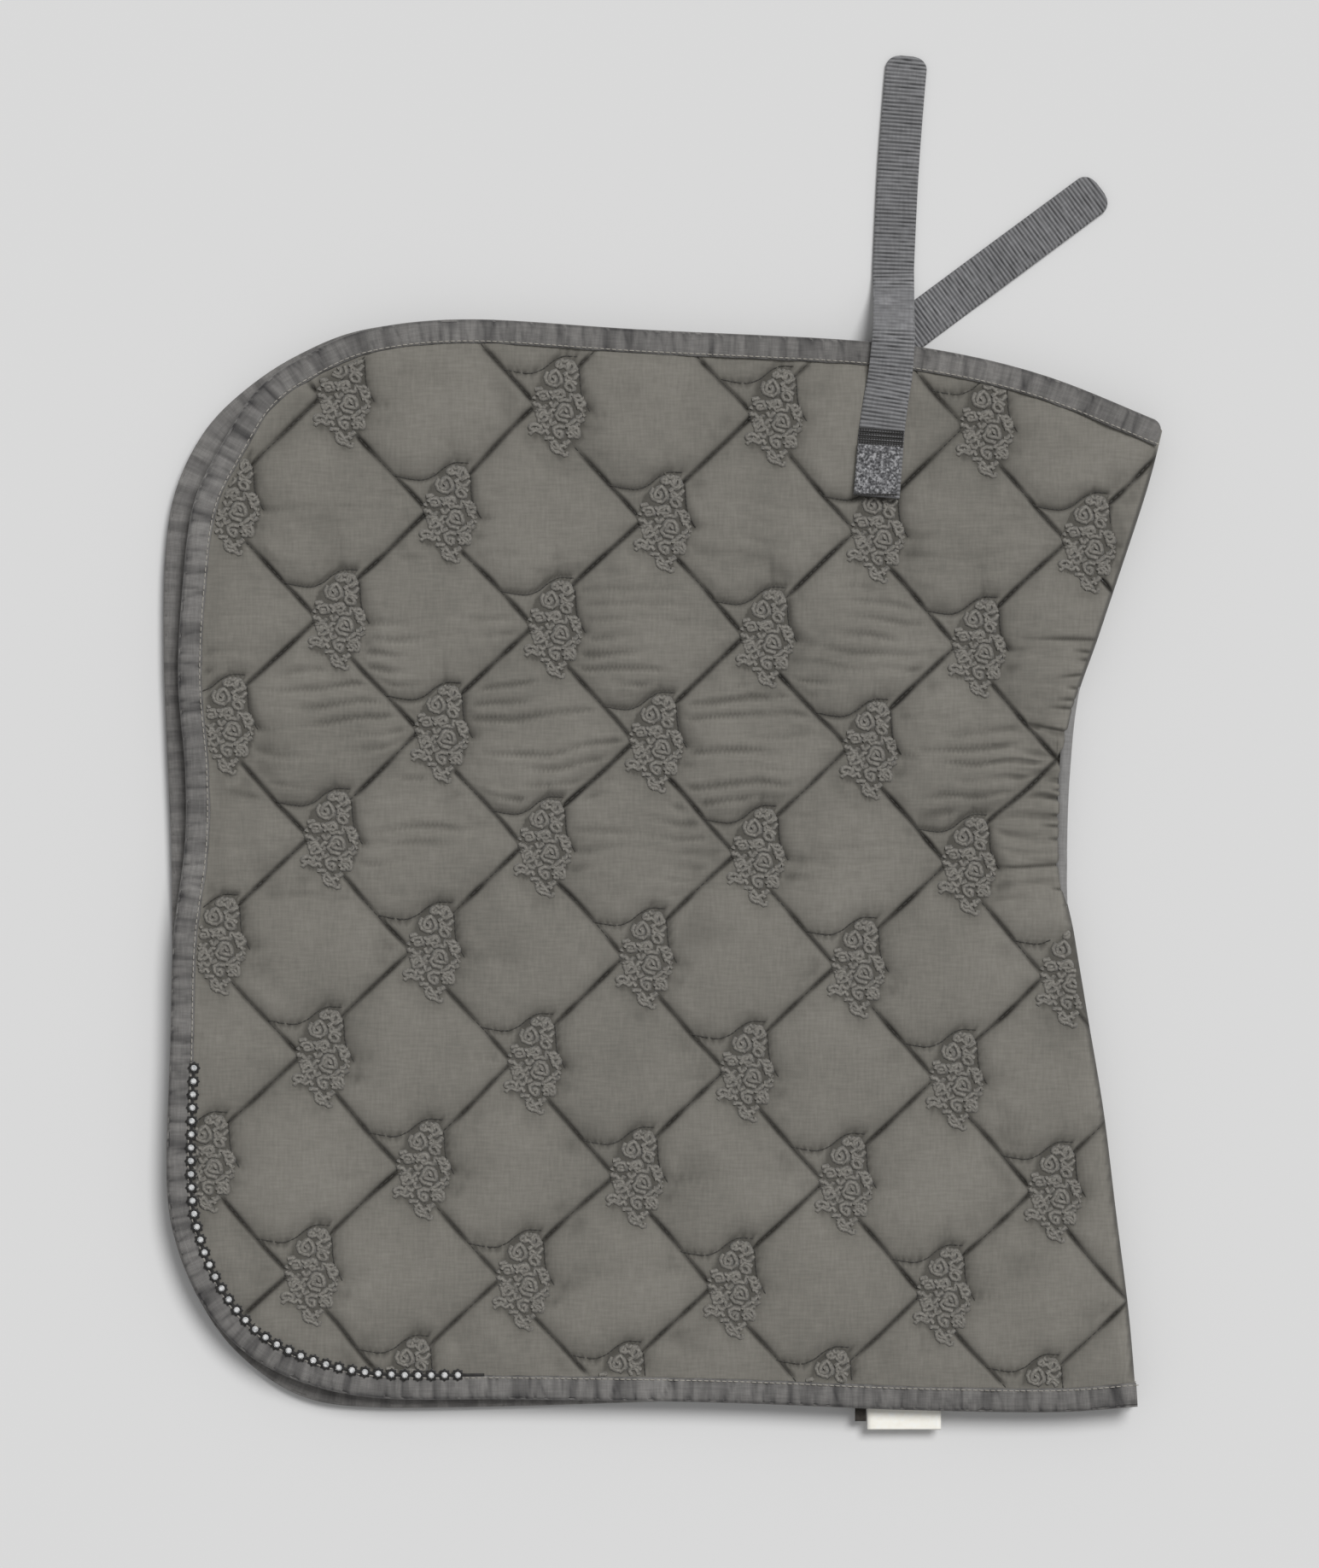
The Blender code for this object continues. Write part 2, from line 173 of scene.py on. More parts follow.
def new_finish(name, roughness, **sockets):
    """A new material: returns it with its tree and its Principled shader."""
    made = bpy.data.materials.new(name)
    made.use_nodes = True
    shader = made.node_tree.nodes["Principled BSDF"]
    shader.inputs["Roughness"].default_value = roughness
    for key, value in sockets.items():
        shader.inputs[key.replace("_", " ")].default_value = value
    return made, made.node_tree, shader


def ramp(tree, value, stops):
    """A colour ramp on a value, from a list of (position, hex colour)."""
    made = node(tree, "ShaderNodeValToRGB", i0=value)
    elements = made.color_ramp.elements
    while len(elements) < len(stops):
        elements.new(0.5)
    for element, (place, colour) in zip(elements, stops):
        element.position = place
        element.color = linear(colour)
    return made.outputs["Color"]


def mixed(tree, factor, first, second):
    """Two colours mixed by a factor."""
    made = node(tree, "ShaderNodeMix", {"data_type": "RGBA"}, i0=factor, i6=first, i7=second)
    return made.outputs[2]


def maths(tree, operation, first, second=0.0, third=0.0):
    """One step of arithmetic on values."""
    made = node(tree, "ShaderNodeMath", {"operation": operation}, i0=first, i1=second, i2=third)
    return made.outputs[0]


def grain(tree, vector, scale, stretch=(1.0, 1.0, 1.0), detail=2.0):
    """Noise with features of one size in metres, drawn out along an axis."""
    placed = node(tree, "ShaderNodeMapping", Vector=vector, Scale=stretch).outputs[0]
    return node(tree, "ShaderNodeTexNoise", Vector=placed, Scale=1.0 / scale, Detail=detail).outputs[0]


def bands(tree, vector, direction, pitch):
    """Soft bands across one axis, at a pitch in metres."""
    made = node(tree, "ShaderNodeTexWave", {"bands_direction": direction}, Vector=vector,
                Scale=math.pi / 10 / pitch)
    return made.outputs["Fac"]


SLUB = 1.4 * MM
MOTTLE = 70.0 * MM


def woven(name, colours, thread, roughness=0.92, crease=None, bump=0.35, sheen=0.12):
    """Woven cloth: crossed threads, slubs and mottling, with painted shade in its creases if asked."""
    made, tree, shader = new_finish(name, roughness, Sheen_Weight=sheen, Specular_IOR_Level=0.2)
    cloth = node(tree, "ShaderNodeUVMap", {"uv_map": "cloth"}).outputs[0]
    warp = bands(tree, cloth, "X", thread)
    weft = bands(tree, cloth, "Y", thread)
    slub_x = grain(tree, cloth, SLUB, (0.14, 1.0, 1.0))
    slub_y = grain(tree, cloth, SLUB, (1.0, 0.14, 1.0))
    mottle = grain(tree, cloth, MOTTLE, detail=4.0)
    threads = maths(tree, "MULTIPLY", warp, weft)
    slubs = maths(tree, "MULTIPLY_ADD", slub_x, 0.5, maths(tree, "MULTIPLY", slub_y, 0.5))
    tone = maths(tree, "MULTIPLY_ADD", slubs, 0.55, maths(tree, "MULTIPLY", mottle, 0.45))
    tone = maths(tree, "MULTIPLY_ADD", threads, 0.06, tone)
    colour = ramp(tree, tone, [(0.3, colours[0]), (0.52, colours[1]), (0.75, colours[2])])
    # Painted shade: the colour mixes towards the crease colour by the stored "crease".
    if crease:
        depth = node(tree, "ShaderNodeAttribute", {"attribute_name": "crease"}).outputs["Fac"]
        colour = mixed(tree, depth, colour, linear(crease))
    tree.links.new(colour, shader.inputs["Base Color"])
    height = maths(tree, "MULTIPLY_ADD", slubs, 1.4, threads)
    relief = node(tree, "ShaderNodeBump", Strength=bump, Distance=0.3 * MM, Height=height)
    tree.links.new(relief.outputs[0], shader.inputs["Normal"])
    return made


# Each crease colour below is the dark colour of that cloth's painted shade.
# Plain-woven cotton, washed soft: quite matt, with slubs and faint mottling. Its threads are
# 0.3 mm apart, too fine to show, so they are drawn at 0.5 mm.
QUILT = woven("quilted_cotton", ("#6D6B65", "#7E7B74", "#8D8A83"), 0.5 * MM, crease="#2E2C28")
# The same cotton in a plainer, darker cloth for the inside.
LINING = woven("cotton_lining", ("#5F5E5B", "#6C6B68", "#777673"), 0.6 * MM, crease="#33322F")
# Bias-cut cotton tape, folded and sewn under tension: rougher, and cooler in colour.
BINDING = woven("bias_binding", ("#5E5D5B", "#7B7977", "#959390"), 0.7 * MM, bump=0.45, crease="#3A393A")
# Polyester webbing: smoother yarn, so a little glossier, with painted shade between its ribs.
WEBBING = woven("ribbed_webbing", ("#747475", "#909092", "#AEAEB0"), 0.6 * MM, 0.8, bump=0.5,
                crease="#3A3A3B")
# Twill tape of the same yarn, without ribs.
TAPE = woven("seam_tape", ("#6E6D6C", "#858483", "#9A9998"), 0.6 * MM, 0.8)
print("woven finishes", [m.name for m in (QUILT, LINING, BINDING, WEBBING, TAPE)])

# %% [markdown]
# Thread, crystal, satin and the two touch tapes need other recipes. Thread and fibre are too
# fine for a weave, so one recipe gives them an uneven tone and a fine relief, placed by the
# piece itself. Crystals are clear glass over a dark cup, so they get glass's index of 1.52
# and a clear coat, and only a little real transmission. Their near-white colour is painted
# highlight, which keeps them bright.


# %% Thread, crystal, satin and touch tape
def fibrous(name, colours, scale, roughness=0.6, bump=0.4):
    """Thread or fibre: a noisy tone with fine relief, on the piece's own place."""
    made, tree, shader = new_finish(name, roughness, Sheen_Weight=0.2, Specular_IOR_Level=0.3)
    place = node(tree, "ShaderNodeTexCoord").outputs["Object"]
    tone = grain(tree, place, scale, detail=3.0)
    colour = ramp(tree, tone, [(0.3, colours[0]), (0.5, colours[1]), (0.7, colours[2])])
    tree.links.new(colour, shader.inputs["Base Color"])
    relief = node(tree, "ShaderNodeBump", Strength=bump, Distance=0.2 * MM, Height=tone)
    tree.links.new(relief.outputs[0], shader.inputs["Normal"])
    return made


# Rayon embroidery thread, twisted and raised: a soft shine in small patches.
EMBROIDERY = fibrous("embroidery_thread", ("#64625D", "#7A7771", "#8B8881"), 1.2 * MM)
# Three spun polyester threads: nearly black in the seams, black in the bar tack, and a pale
# one that shows along the binding.
SEAM_THREAD = fibrous("quilting_thread", ("#2C2A27", "#393733", "#45423D"), 0.8 * MM)
TACK_THREAD = fibrous("tack_thread", ("#1C1B1A", "#282726", "#343231"), 0.8 * MM)
EDGE_THREAD = fibrous("edge_thread", ("#8C877F", "#9E9A92", "#AEAAA2"), 0.8 * MM)
# Brushed nylon loops: speckled light and dark, because each loop catches the light alone.
# Real loops are 0.3 mm wide, so they are drawn in clumps of 1.3 mm.
LOOPS = fibrous("loop_tape", ("#2A2A2C", "#646466", "#B0B0B2"), 1.3 * MM, 0.9, 0.9)
# Moulded nylon hooks: even in colour and slightly glossy.
HOOKS = fibrous("hook_tape", ("#484848", "#565656", "#626262"), 1.0 * MM, 0.5)
# A dark taffeta tab and a white satin label: the satin is the smoother of the two.
WOVEN_TAB = fibrous("woven_tab", ("#2B2824", "#35312D", "#403C37"), 0.9 * MM, 0.8)
SATIN = fibrous("satin_label", ("#FBF8EE", "#FFFDF4", "#FFFFFA"), 3.0 * MM, 0.45, 0.1)
# Dark plated cups with their cord: worn enough to be half matt.
CUP = fibrous("bead_cup", ("#1C1B1A", "#262524", "#312F2E"), 2.0 * MM, 0.55)

# Cut glass: almost mirror smooth. Its colour is painted highlight: noise from pale grey to
# white stands for the light that its facets flash.

CRYSTAL, crystal_tree, crystal_shader = new_finish(
    "crystal_beads", 0.04, IOR=1.52, Transmission_Weight=0.25, Coat_Weight=1.0)
crystal_place = node(crystal_tree, "ShaderNodeTexCoord").outputs["Object"]
crystal_glint = grain(crystal_tree, crystal_place, 2.2 * MM)
crystal_tree.links.new(
    ramp(crystal_tree, crystal_glint, [(0.35, "#C9CCCE"), (0.5, "#F2F3F3"), (0.65, "#FFFFFF")]),
    crystal_shader.inputs["Base Color"])
print("thread finishes ready")

# %% [markdown]
# ## The cut pattern
#
# A saddler starts from a paper pattern: the edge that gets bound, and the curve of the
# horse's back. The points are joined by a Catmull-Rom curve, which passes through every one
# of them, and are then spaced evenly so that everything sewn along an edge can count steps.
# The lower edges differ a little, because the halves don't lie exactly on each other. Along
# the waist of the spine the cover ends short of the fold, and the seam tape shows there.

# %% Pattern points, in millimetres from the middle of the pad
FRONT_EDGE = [
    (277.1, 243.5), (213.8, 269.0), (157.2, 283.2), (100.5, 289.8), (-12.7, 295.5), (-107.1, 301.1),
]
LEFT_LOWER_EDGE = [
    (-165.0, 295.0), (-201.5, 279.0), (-225.1, 261.5), (-243.1, 233.6), (-259.6, 199.2),
    (-266.0, 150.0), (-268.1, 100.1), (-264.3, 52.9), (-264.5, 10.0), (-270.9, -41.5),
    (-272.5, -100.0), (-274.5, -173.7), (-268.6, -211.5), (-253.5, -244.5),
    (-229.9, -270.5), (-196.8, -287.0), (-154.3, -295.0), (-83.5, -295.5),
]
RIGHT_LOWER_EDGE = [
    (-165.0, 296.5), (-203.0, 282.0), (-233.0, 262.0), (-255.0, 239.0), (-270.5, 207.0),
    (-276.3, 170.0), (-277.1, 120.0), (-275.6, 71.7), (-273.0, 10.0), (-272.4, -41.5),
    (-272.5, -100.0), (-274.5, -173.7), (-269.6, -211.5), (-256.5, -243.0),
    (-236.0, -271.0), (-204.0, -293.5), (-165.0, -301.0), (-83.5, -300.5),
]
REAR_EDGE = [(34.5, -297.4), (130.0, -301.2), (213.8, -302.6), (262.0, -299.5)]
SPINE_EDGE = [
    (262.0, -299.5), (257.7, -249.2), (250.6, -192.6), (243.6, -135.9), (234.1, -79.3),
    (225.1, -22.7), (223.3, 5.7), (225.1, 52.9), (230.3, 90.6), (241.7, 128.4),
    (266.7, 203.9), (277.1, 243.5),
]
EDGE_STEP = 4.0
HALF_T = 10.8
LINING_GAP = 0.3
MID_PLANE = HALF_T + LINING_GAP
RIM_MID = HALF_T / 2
BINDING_W = 13.4
WAIST_TAPE = 3.1


def evenly(line, step):
    """Points at equal steps along a line, with both ends kept."""
    line = np.asarray(line, float)
    lengths = np.r_[0, np.cumsum(np.linalg.norm(np.diff(line, axis=0), axis=1))]
    places = np.linspace(0, lengths[-1], max(2, round(lengths[-1] / step) + 1))
    return np.stack([np.interp(places, lengths, line[:, k]) for k in range(line.shape[1])], 1)


def curve_through(points, step):
    """A Catmull-Rom curve through the points, at equal steps."""
    p = np.asarray(points, float)
    p = np.vstack([2 * p[0] - p[1], p, 2 * p[-1] - p[-2]])
    t = np.linspace(0, 1, 24, endpoint=False)[:, None]
    line = []
    for a, b, c, d in zip(p, p[1:], p[2:], p[3:]):
        line.append(0.5 * (2 * b + (c - a) * t + (2 * a - 5 * b + 4 * c - d) * t ** 2
                           + (3 * b - a - 3 * c + d) * t ** 3))
    return evenly(np.vstack(line + [p[-2:-1]]), step)


def step_up(value, low, high):
    """A smooth step from 0 at low to 1 at high."""
    t = np.clip((value - low) / (high - low), 0, 1)
    return t * t * (3 - 2 * t)


def left_normals(line):
    """Unit vectors square to a line, on its left, which is inwards on the pattern."""
    run = np.gradient(line[:, :2], axis=0)
    run /= np.linalg.norm(run, axis=1, keepdims=True)
    return np.stack([-run[:, 1], run[:, 0]], 1)


def inset(line, distance):
    """A pattern line moved inwards."""
    return line + left_normals(line) * distance


def at_waist(y):
    """1 along the waist of the spine, falling to 0 before and behind it."""
    return step_up(y, -40.0, 2.0) * (1 - step_up(y, 50.0, 132.0))


def closed(loop):
    """A loop with its first point again at its end."""
    return np.vstack([loop, loop[:1]])


spine = curve_through(SPINE_EDGE, EDGE_STEP)
cover_end = spine + left_normals(spine) * (WAIST_TAPE * at_waist(spine[:, 1]))[:, None]
bound = {
    "left": curve_through(FRONT_EDGE + LEFT_LOWER_EDGE + REAR_EDGE, EDGE_STEP),
    "right": curve_through(FRONT_EDGE + RIGHT_LOWER_EDGE + REAR_EDGE, EDGE_STEP),
}
print("bound edge", {side: round((len(line) - 1) * EDGE_STEP) for side, line in bound.items()}, "mm")

# %% [markdown]
# ## Measuring on the pattern
#
# Most of what makes a quilt look quilted depends on how far a point is from the nearest
# stitched line. These helpers work on whole arrays of points at once, because a panel has
# tens of thousands of them and a loop in Python would be slow.

# %% Distances and noise
BATCH = 4000


def distance_to(points, line):
    """How far each point is from a line, and the line's nearest point to it."""
    start, run = line[:-1], np.diff(line, axis=0)
    square = (run ** 2).sum(1)
    gaps, nearest = [], []
    for p in np.array_split(points, len(points) // BATCH + 1):
        t = np.clip(((p[:, None] - start) * run).sum(2) / square, 0, 1)
        near = start + t[..., None] * run
        gap = np.linalg.norm(p[:, None] - near, axis=2)
        rows, pick = np.arange(len(p)), gap.argmin(1)
        gaps.append(gap[rows, pick])
        nearest.append(near[rows, pick])
    return np.concatenate(gaps), np.concatenate(nearest)


def inside(points, loop):
    """Whether each point lies inside a closed loop."""
    x1, y1 = loop[:, 0], loop[:, 1]
    x2, y2 = np.roll(x1, -1), np.roll(y1, -1)
    slope = (x2 - x1) / np.where(y2 == y1, 1e-9, y2 - y1)
    found = []
    for p in np.array_split(points, len(points) // BATCH + 1):
        x, y = p[:, :1], p[:, 1:]
        crossed = ((y1 > y) != (y2 > y)) & (x < slope * (y - y1) + x1)
        found.append(crossed.sum(1) % 2 == 1)
    return np.concatenate(found)


def noise_at(x, y, seed=0.0):
    """Smooth noise at each pair of coordinates, mostly between -0.5 and 0.5."""
    return np.array([noise.noise((a, b, seed)) for a, b in zip(x, y)])


spine_gap = distance_to(np.zeros((1, 2)), spine)[0][0]
print("the spine is", round(float(spine_gap)), "mm from the middle of the pad")

# %% [markdown]
# ## The quilting plan
#
# The diamonds come from two families of parallel seams. Beside every crossing a small
# embroidered ornament is sewn through the panel, and the cloth folds deeply round it.
# Every point of the panel gets its place in the diamond lattice, so one drawing of the
# crossing serves them all.
#
# Nobody sews perfectly straight, and cloth shrinks as it is quilted. So the ruled lattice
# drifts slowly over the panel, by a few millimetres, with a smaller unevenness on top.

# %% Lattice, ornament patch and creases, in millimetres
SEAM_A = np.array([55.9, -62.3])
SEAM_B = np.array([-61.6, -57.6])
LATTICE = np.stack([SEAM_A, SEAM_B])
CROSSING = np.array([-18.4, 69.4])
TO_LATTICE = np.linalg.inv(LATTICE)
SPACING = 1 / np.linalg.norm(TO_LATTICE, axis=0)

PATCH = np.array([  # the outline of an ornament, from its crossing
    (2.0, 15.2), (8.6, 21.9), (15.4, 25.8), (22.0, 25.1), (23.4, 16.4), (24.4, 6.5), (27.6, -0.5),
    (26.0, -8.9), (22.2, -18.4), (17.9, -21.4), (14.9, -28.3), (9.4, -27.1), (5.4, -19.6),
    (-4.6, -15.9), (0.6, -8.9), (-1.2, -2.2), (-3.6, 2.0), (-0.6, 8.9),
])
SMILE_CREASE = curve_through([(-16.8, 19.5), (-10.5, 18.2), (-3.0, 17.6), (3.4, 20.0), (8.8, 24.2),
                              (14.6, 27.0), (21.5, 26.9)], 1.5)
SIDE_CREASE = curve_through([(23.6, 19.0), (24.8, 6.0), (28.8, -2.5)], 1.5)

BARE_NEAR_SPINE = 12.0
DRIFT = np.array([(2.8, -1.4), (-0.45, 0.12), (-0.43, 0.36), (-1.2, -0.5), (1.45, -1.0), (-1.6, 1.2)])
DRIFT_SPAN, UNEVEN_SPAN, UNEVEN = 200.0, 45.0, 1.6


def strayed(points):
    """How far the sewing strays from its ruled lines: a slow drift and a small unevenness."""
    x, y = points.T / DRIFT_SPAN
    drift = np.column_stack([np.ones(len(x)), x, y, x * x, x * y, y * y]) @ DRIFT
    x, y = points.T / UNEVEN_SPAN
    return drift + UNEVEN * np.column_stack([noise_at(x, y, 31.0), noise_at(x, y, 37.0)])


def on_plan(lattice):
    """The place of each pair of lattice coordinates on the panel."""
    ruled = lattice @ LATTICE + CROSSING
    return ruled + strayed(ruled)


def lattice_place(points):
    """Each point's lattice coordinates and its place relative to its nearest crossing."""
    lattice = (points - strayed(points) - CROSSING) @ TO_LATTICE
    whole = np.round(lattice)
    return lattice, (lattice - whole) @ LATTICE


FAR, UNDER_PATCH, CREASE_FADED = 99.0, 9.0, 12.0


def sewn_distances(points):
    """How far each point is from anything sewn, from a seam and from a crease, and whether an
    ornament covers it. A crossing close to the spine has no ornament."""
    lattice, local = lattice_place(points)
    seam = (np.abs(lattice - np.round(lattice)) * SPACING).min(1)
    patch = distance_to(local, closed(PATCH))[0]
    covered = inside(local, PATCH)
    bare = distance_to(points - local, cover_end)[0] < BARE_NEAR_SPINE
    patch, covered = np.where(bare, FAR, patch), covered & ~bare
    creases = np.minimum(distance_to(local, SMILE_CREASE)[0], distance_to(local, SIDE_CREASE)[0])
    creases = creases + CREASE_FADED * (1 - step_up(distance_to(points, cover_end)[0], 8.0, 18.0))
    sewn = np.minimum.reduce([seam, np.where(covered, 0.0, patch), creases])
    return sewn, np.where(covered, UNDER_PATCH, seam), creases, covered


print("seams", [round(float(s), 1) for s in SPACING], "mm apart")

# %% [markdown]
# ## Panels as puffed shells
#
# A quilted panel is a closed bag of cloth, stitched through along the seams. Both halves
# are drawn cover up, with the lining at height 0, and put in their place last: the right
# half is turned over, as it is on the real folded pad.
#
# The shell is a grid whose rows follow the seams, so that a crease falls on a row of points
# and stays sharp. It is trimmed to the pattern and extruded into a closed shell. One coarse
# shell is blown up by cloth simulation between pinned seams, as wadding does. The fine one
# then takes its heights from it and adds what the coarse one is too coarse for. Narrow folds
# that run across the rows would come out jagged, so the top of the pad is split finer where
# it has them.

# %% Shell helpers
# The lattice reaches six diamonds each way from the middle; rows stand close at each seam.
REACH = 6
COARSE_CELLS = 12
FINE_HALF = np.cumsum([0, 0.9, 1.1, 1.3, 1.6, 1.9, 2.2, 2.5, 2.8, 3.0, 3.2, 3.4, 3.5, 3.6, 3.6, 3.7, 3.7])
FINE_ROWS = np.r_[FINE_HALF, 2 * FINE_HALF[-1] - FINE_HALF[-2::-1]] / (2 * FINE_HALF[-1])
FINE_CELLS = len(FINE_ROWS) - 1
EDGE_INSET = 1.8
SEAM_TOP, SEAM_BASE = 7.7, 0.8
RIM_TOP, RIM_BASE = RIM_MID + 1.7, RIM_MID - 1.7
SPINE_ROUND = 5.0
PINNED_NEAR_SEAM, PINNED_NEAR_SPINE = 2.0, 3.0
CREASED_BAND = (-22.0, 215.0)
REFINED_FROM = (-600.0, 182.0)


def points_of(piece):
    """A mesh's points as an array, in millimetres."""
    flat = np.zeros(len(piece.data.vertices) * 3)
    piece.data.vertices.foreach_get("co", flat)
    return flat.reshape(-1, 3) / MM


def move_points(piece, points):
    """Put a mesh's points back, from millimetres."""
    piece.data.vertices.foreach_set("co", (points * MM).ravel())
    piece.data.update()


def object_from(name, bm):
    """A new object holding the bmesh, linked to the scene."""
    mesh = bpy.data.meshes.new(name)
    bm.to_mesh(mesh)
    bm.free()
    return linked(name, mesh)


def panel_loop(side):
    """The outline of one half's quilted shell, which ends inside the binding."""
    return np.vstack([inset(bound[side], EDGE_INSET)[1:], cover_end[1:-1]])


def refine(bm, from_x):
    """Split the cover's faces in the creased band, from one place on towards the spine."""
    edges = set()
    for face in bm.faces:
        spot = face.calc_center_median()
        if spot.z > 0.99 and spot.x > from_x and CREASED_BAND[0] < spot.y < CREASED_BAND[1]:
            edges.update(face.edges)
    bmesh.ops.subdivide_edges(bm, edges=list(edges), cuts=1, use_grid_fill=True)


def flat_shell(name, side, cells, rows=None, finer=False):
    """A closed flat shell of one half, its lining at height 0 and its cover at 1."""
    loop = panel_loop(side)
    bm = bmesh.new()
    bmesh.ops.create_grid(bm, x_segments=2 * REACH * cells, y_segments=2 * REACH * cells, size=REACH)
    lattice = np.array([v.co[:2] for v in bm.verts])
    if rows is not None:
        whole = np.floor(lattice + 1e-6)
        lattice = whole + np.interp((lattice - whole) * cells, np.arange(cells + 1), rows)
    plan = on_plan(lattice)
    within = inside(plan, loop)
    for vert, (x, y) in zip(bm.verts, plan):
        vert.co = (x, y, 0)
    unused = [f for f in bm.faces if not any(within[v.index] for v in f.verts)]
    bmesh.ops.delete(bm, geom=unused, context="FACES")
    spots = np.array([v.co[:2] for v in bm.verts])
    outer = ~inside(spots, loop)
    spots[outer] = distance_to(spots[outer], closed(loop))[1]
    for vert, (x, y) in zip(bm.verts, spots):
        vert.co = (x, y, 0)
    top = bmesh.ops.extrude_face_region(bm, geom=bm.faces[:], use_keep_orig=True)["geom"]
    bmesh.ops.translate(bm, vec=(0, 0, 1), verts=[g for g in top if isinstance(g, bmesh.types.BMVert)])
    for from_x in REFINED_FROM if finer else ():
        refine(bm, from_x)
    bmesh.ops.scale(bm, vec=(MM, MM, MM), verts=bm.verts)
    bmesh.ops.recalc_face_normals(bm, faces=bm.faces)
    return object_from(name, bm)


def shell_heights(plan, side, puffed):
    """Heights of the cover and the lining, the points that are pinned, and the spine's turn."""
    sewn = sewn_distances(plan)[0]
    edge = distance_to(plan, bound[side])[0]
    back = distance_to(plan, cover_end)[0]
    puff = puffed * (1 - np.exp(-sewn / 6.0))
    rim = step_up(edge, BINDING_W - 1.0, BINDING_W + 11.0)
    cover = RIM_TOP + (SEAM_TOP + (HALF_T - SEAM_TOP) * puff - RIM_TOP) * rim
    lining = RIM_BASE + (SEAM_BASE * (1 - puff) - RIM_BASE) * rim
    pinned = (sewn < PINNED_NEAR_SEAM) | (edge < BINDING_W) | (back < PINNED_NEAR_SPINE)
    turn = np.sqrt(1 - (1 - np.clip(back / SPINE_ROUND, 0, 1)) ** 2)
    return cover, lining, pinned, turn


print("rows of the fine grid:", FINE_CELLS, "to a diamond")

# %% [markdown]
# Wadding pushes the cloth out evenly between its seams. A formula could puff each diamond,
# but cloth under pressure also leans and wrinkles towards its corners, which a simulation
# finds by itself. It is kept small: eighteen frames, no gravity, a little pressure, and a
# limit on how far a point may travel, because a corner of cloth can shoot away.

# %% Inflate by cloth simulation
PRESSURE = 3.0
TRAVEL = 3.0
FRAMES = 18
START_PUFF = 0.45


def inflate(piece, pinned):
    """Blow a closed shell up between its pinned points, by cloth simulation."""
    group = piece.vertex_groups.new(name="sewn")
    group.add([int(i) for i in np.flatnonzero(pinned)], 1.0, "REPLACE")
    cloth = piece.modifiers.new("inflate", "CLOTH")
    cloth.settings.quality = 4
    cloth.settings.mass = 0.25
    cloth.settings.use_pressure = True
    cloth.settings.uniform_pressure_force = PRESSURE
    cloth.settings.shrink_min = -0.03
    cloth.settings.effector_weights.gravity = 0.0
    cloth.settings.vertex_group_mass = "sewn"
    cloth.settings.tension_stiffness = 12.0
    cloth.settings.compression_stiffness = 12.0
    cloth.settings.bending_stiffness = 0.3
    cloth.collision_settings.use_collision = False
    cloth.point_cache.frame_start = 1
    cloth.point_cache.frame_end = FRAMES
    start = points_of(piece)
    for number in range(1, FRAMES + 1):
        bpy.context.scene.frame_set(number)
    graph = bpy.context.evaluated_depsgraph_get()
    piece.data = bpy.data.meshes.new_from_object(piece.evaluated_get(graph))
    piece.modifiers.clear()
    travel = points_of(piece) - start
    length = np.linalg.norm(travel, axis=1, keepdims=True)
    move_points(piece, start + travel * np.minimum(1, TRAVEL / np.maximum(length, 1e-6)))
    bpy.context.scene.frame_set(1)


def puffed_shell(side):
    """The coarse shell of one half after its simulation, smoothed once, for its heights."""
    piece = flat_shell("coarse_shell", side, COARSE_CELLS)
    points = points_of(piece)
    cover, lining, pinned, _ = shell_heights(points[:, :2], side, START_PUFF)
    upper = points[:, 2] > 0.5
    points[:, 2] = np.where(upper, cover, lining)
    move_points(piece, points)
    inflate(piece, pinned)
    smooth = piece.modifiers.new("smooth", "SUBSURF")
    smooth.levels = smooth.render_levels = 1
    graph = bpy.context.evaluated_depsgraph_get()
    tree = BVHTree.FromObject(piece, graph)
    bpy.data.objects.remove(piece)
    return tree


def heights_on(tree, plan, missing, from_above=True):
    """The height of a surface at each place, seen from above or from below."""
    start, aim = (0.1, Vector((0, 0, -1))) if from_above else (-0.1, Vector((0, 0, 1)))
    found = np.array(missing, float)
    for index, (x, y) in enumerate(plan * MM):
        hit = tree.ray_cast(Vector((x, y, start)), aim)[0]
        if hit is not None:
            found[index] = hit.z / MM
    return found


print("pressure", PRESSURE, "over", FRAMES, "frames")

# %% [markdown]
# Sewing pulls the cloth into folds. Long ones run across the waist of the pad, short ones
# gather at the spine, and small puckers stand along each seam. They are noise stretched in
# the direction of each fold, which is quicker than simulating such fine cloth. The pleats at
# the spine are listed one by one, because each starts at a stitch of the tape.

# %% Folds, puckers and pleats
WAIST_FOLD, SPINE_FOLD, SEAM_PUCKER, SLACK, FAN = 1.45, 0.9, 0.9, 0.9, 1.2
WAIST_PITCH, SPINE_PITCH = 9.0, 12.5
PLEAT_HALF_W = 0.85
PLEATS = [  # how far forward it starts, how far it runs in, and how it slants
    (124.0, 42, 0.02), (117.0, 11, 0.1), (113.0, 7, 0.0), (105.0, 15, -0.12), (97.0, 8, 0.1), (91.0, 11, 0.0),
    (86.0, 15, 0.05), (73.0, 24, 0.18), (57.0, 9, 0.1), (41.0, 7, 0.0), (36.0, 17, 0.1), (27.0, 9, 0.0),
    (21.0, 12, 0.05), (14.0, 8, 0.0), (0.0, 42, -0.06), (-14.0, 8, 0.1),
]


def folds_across(x, y, spacing, seed):
    """Rows of narrow valleys along x, each of which starts, ends and sways by itself."""
    sway = y + 7.0 * noise_at(x / 55.0, y / 60.0, seed) + 2.0 * noise_at(x / 21.0, y / 25.0, seed + 1)
    strength = step_up(noise_at(x / 72.0, sway / 11.0, seed + 2), -0.22, 0.2)
    wave = 0.5 - 0.5 * np.cos(2 * math.pi * sway / spacing)
    return strength * (0.45 * wave - np.exp(-(wave / 0.28) ** 2))


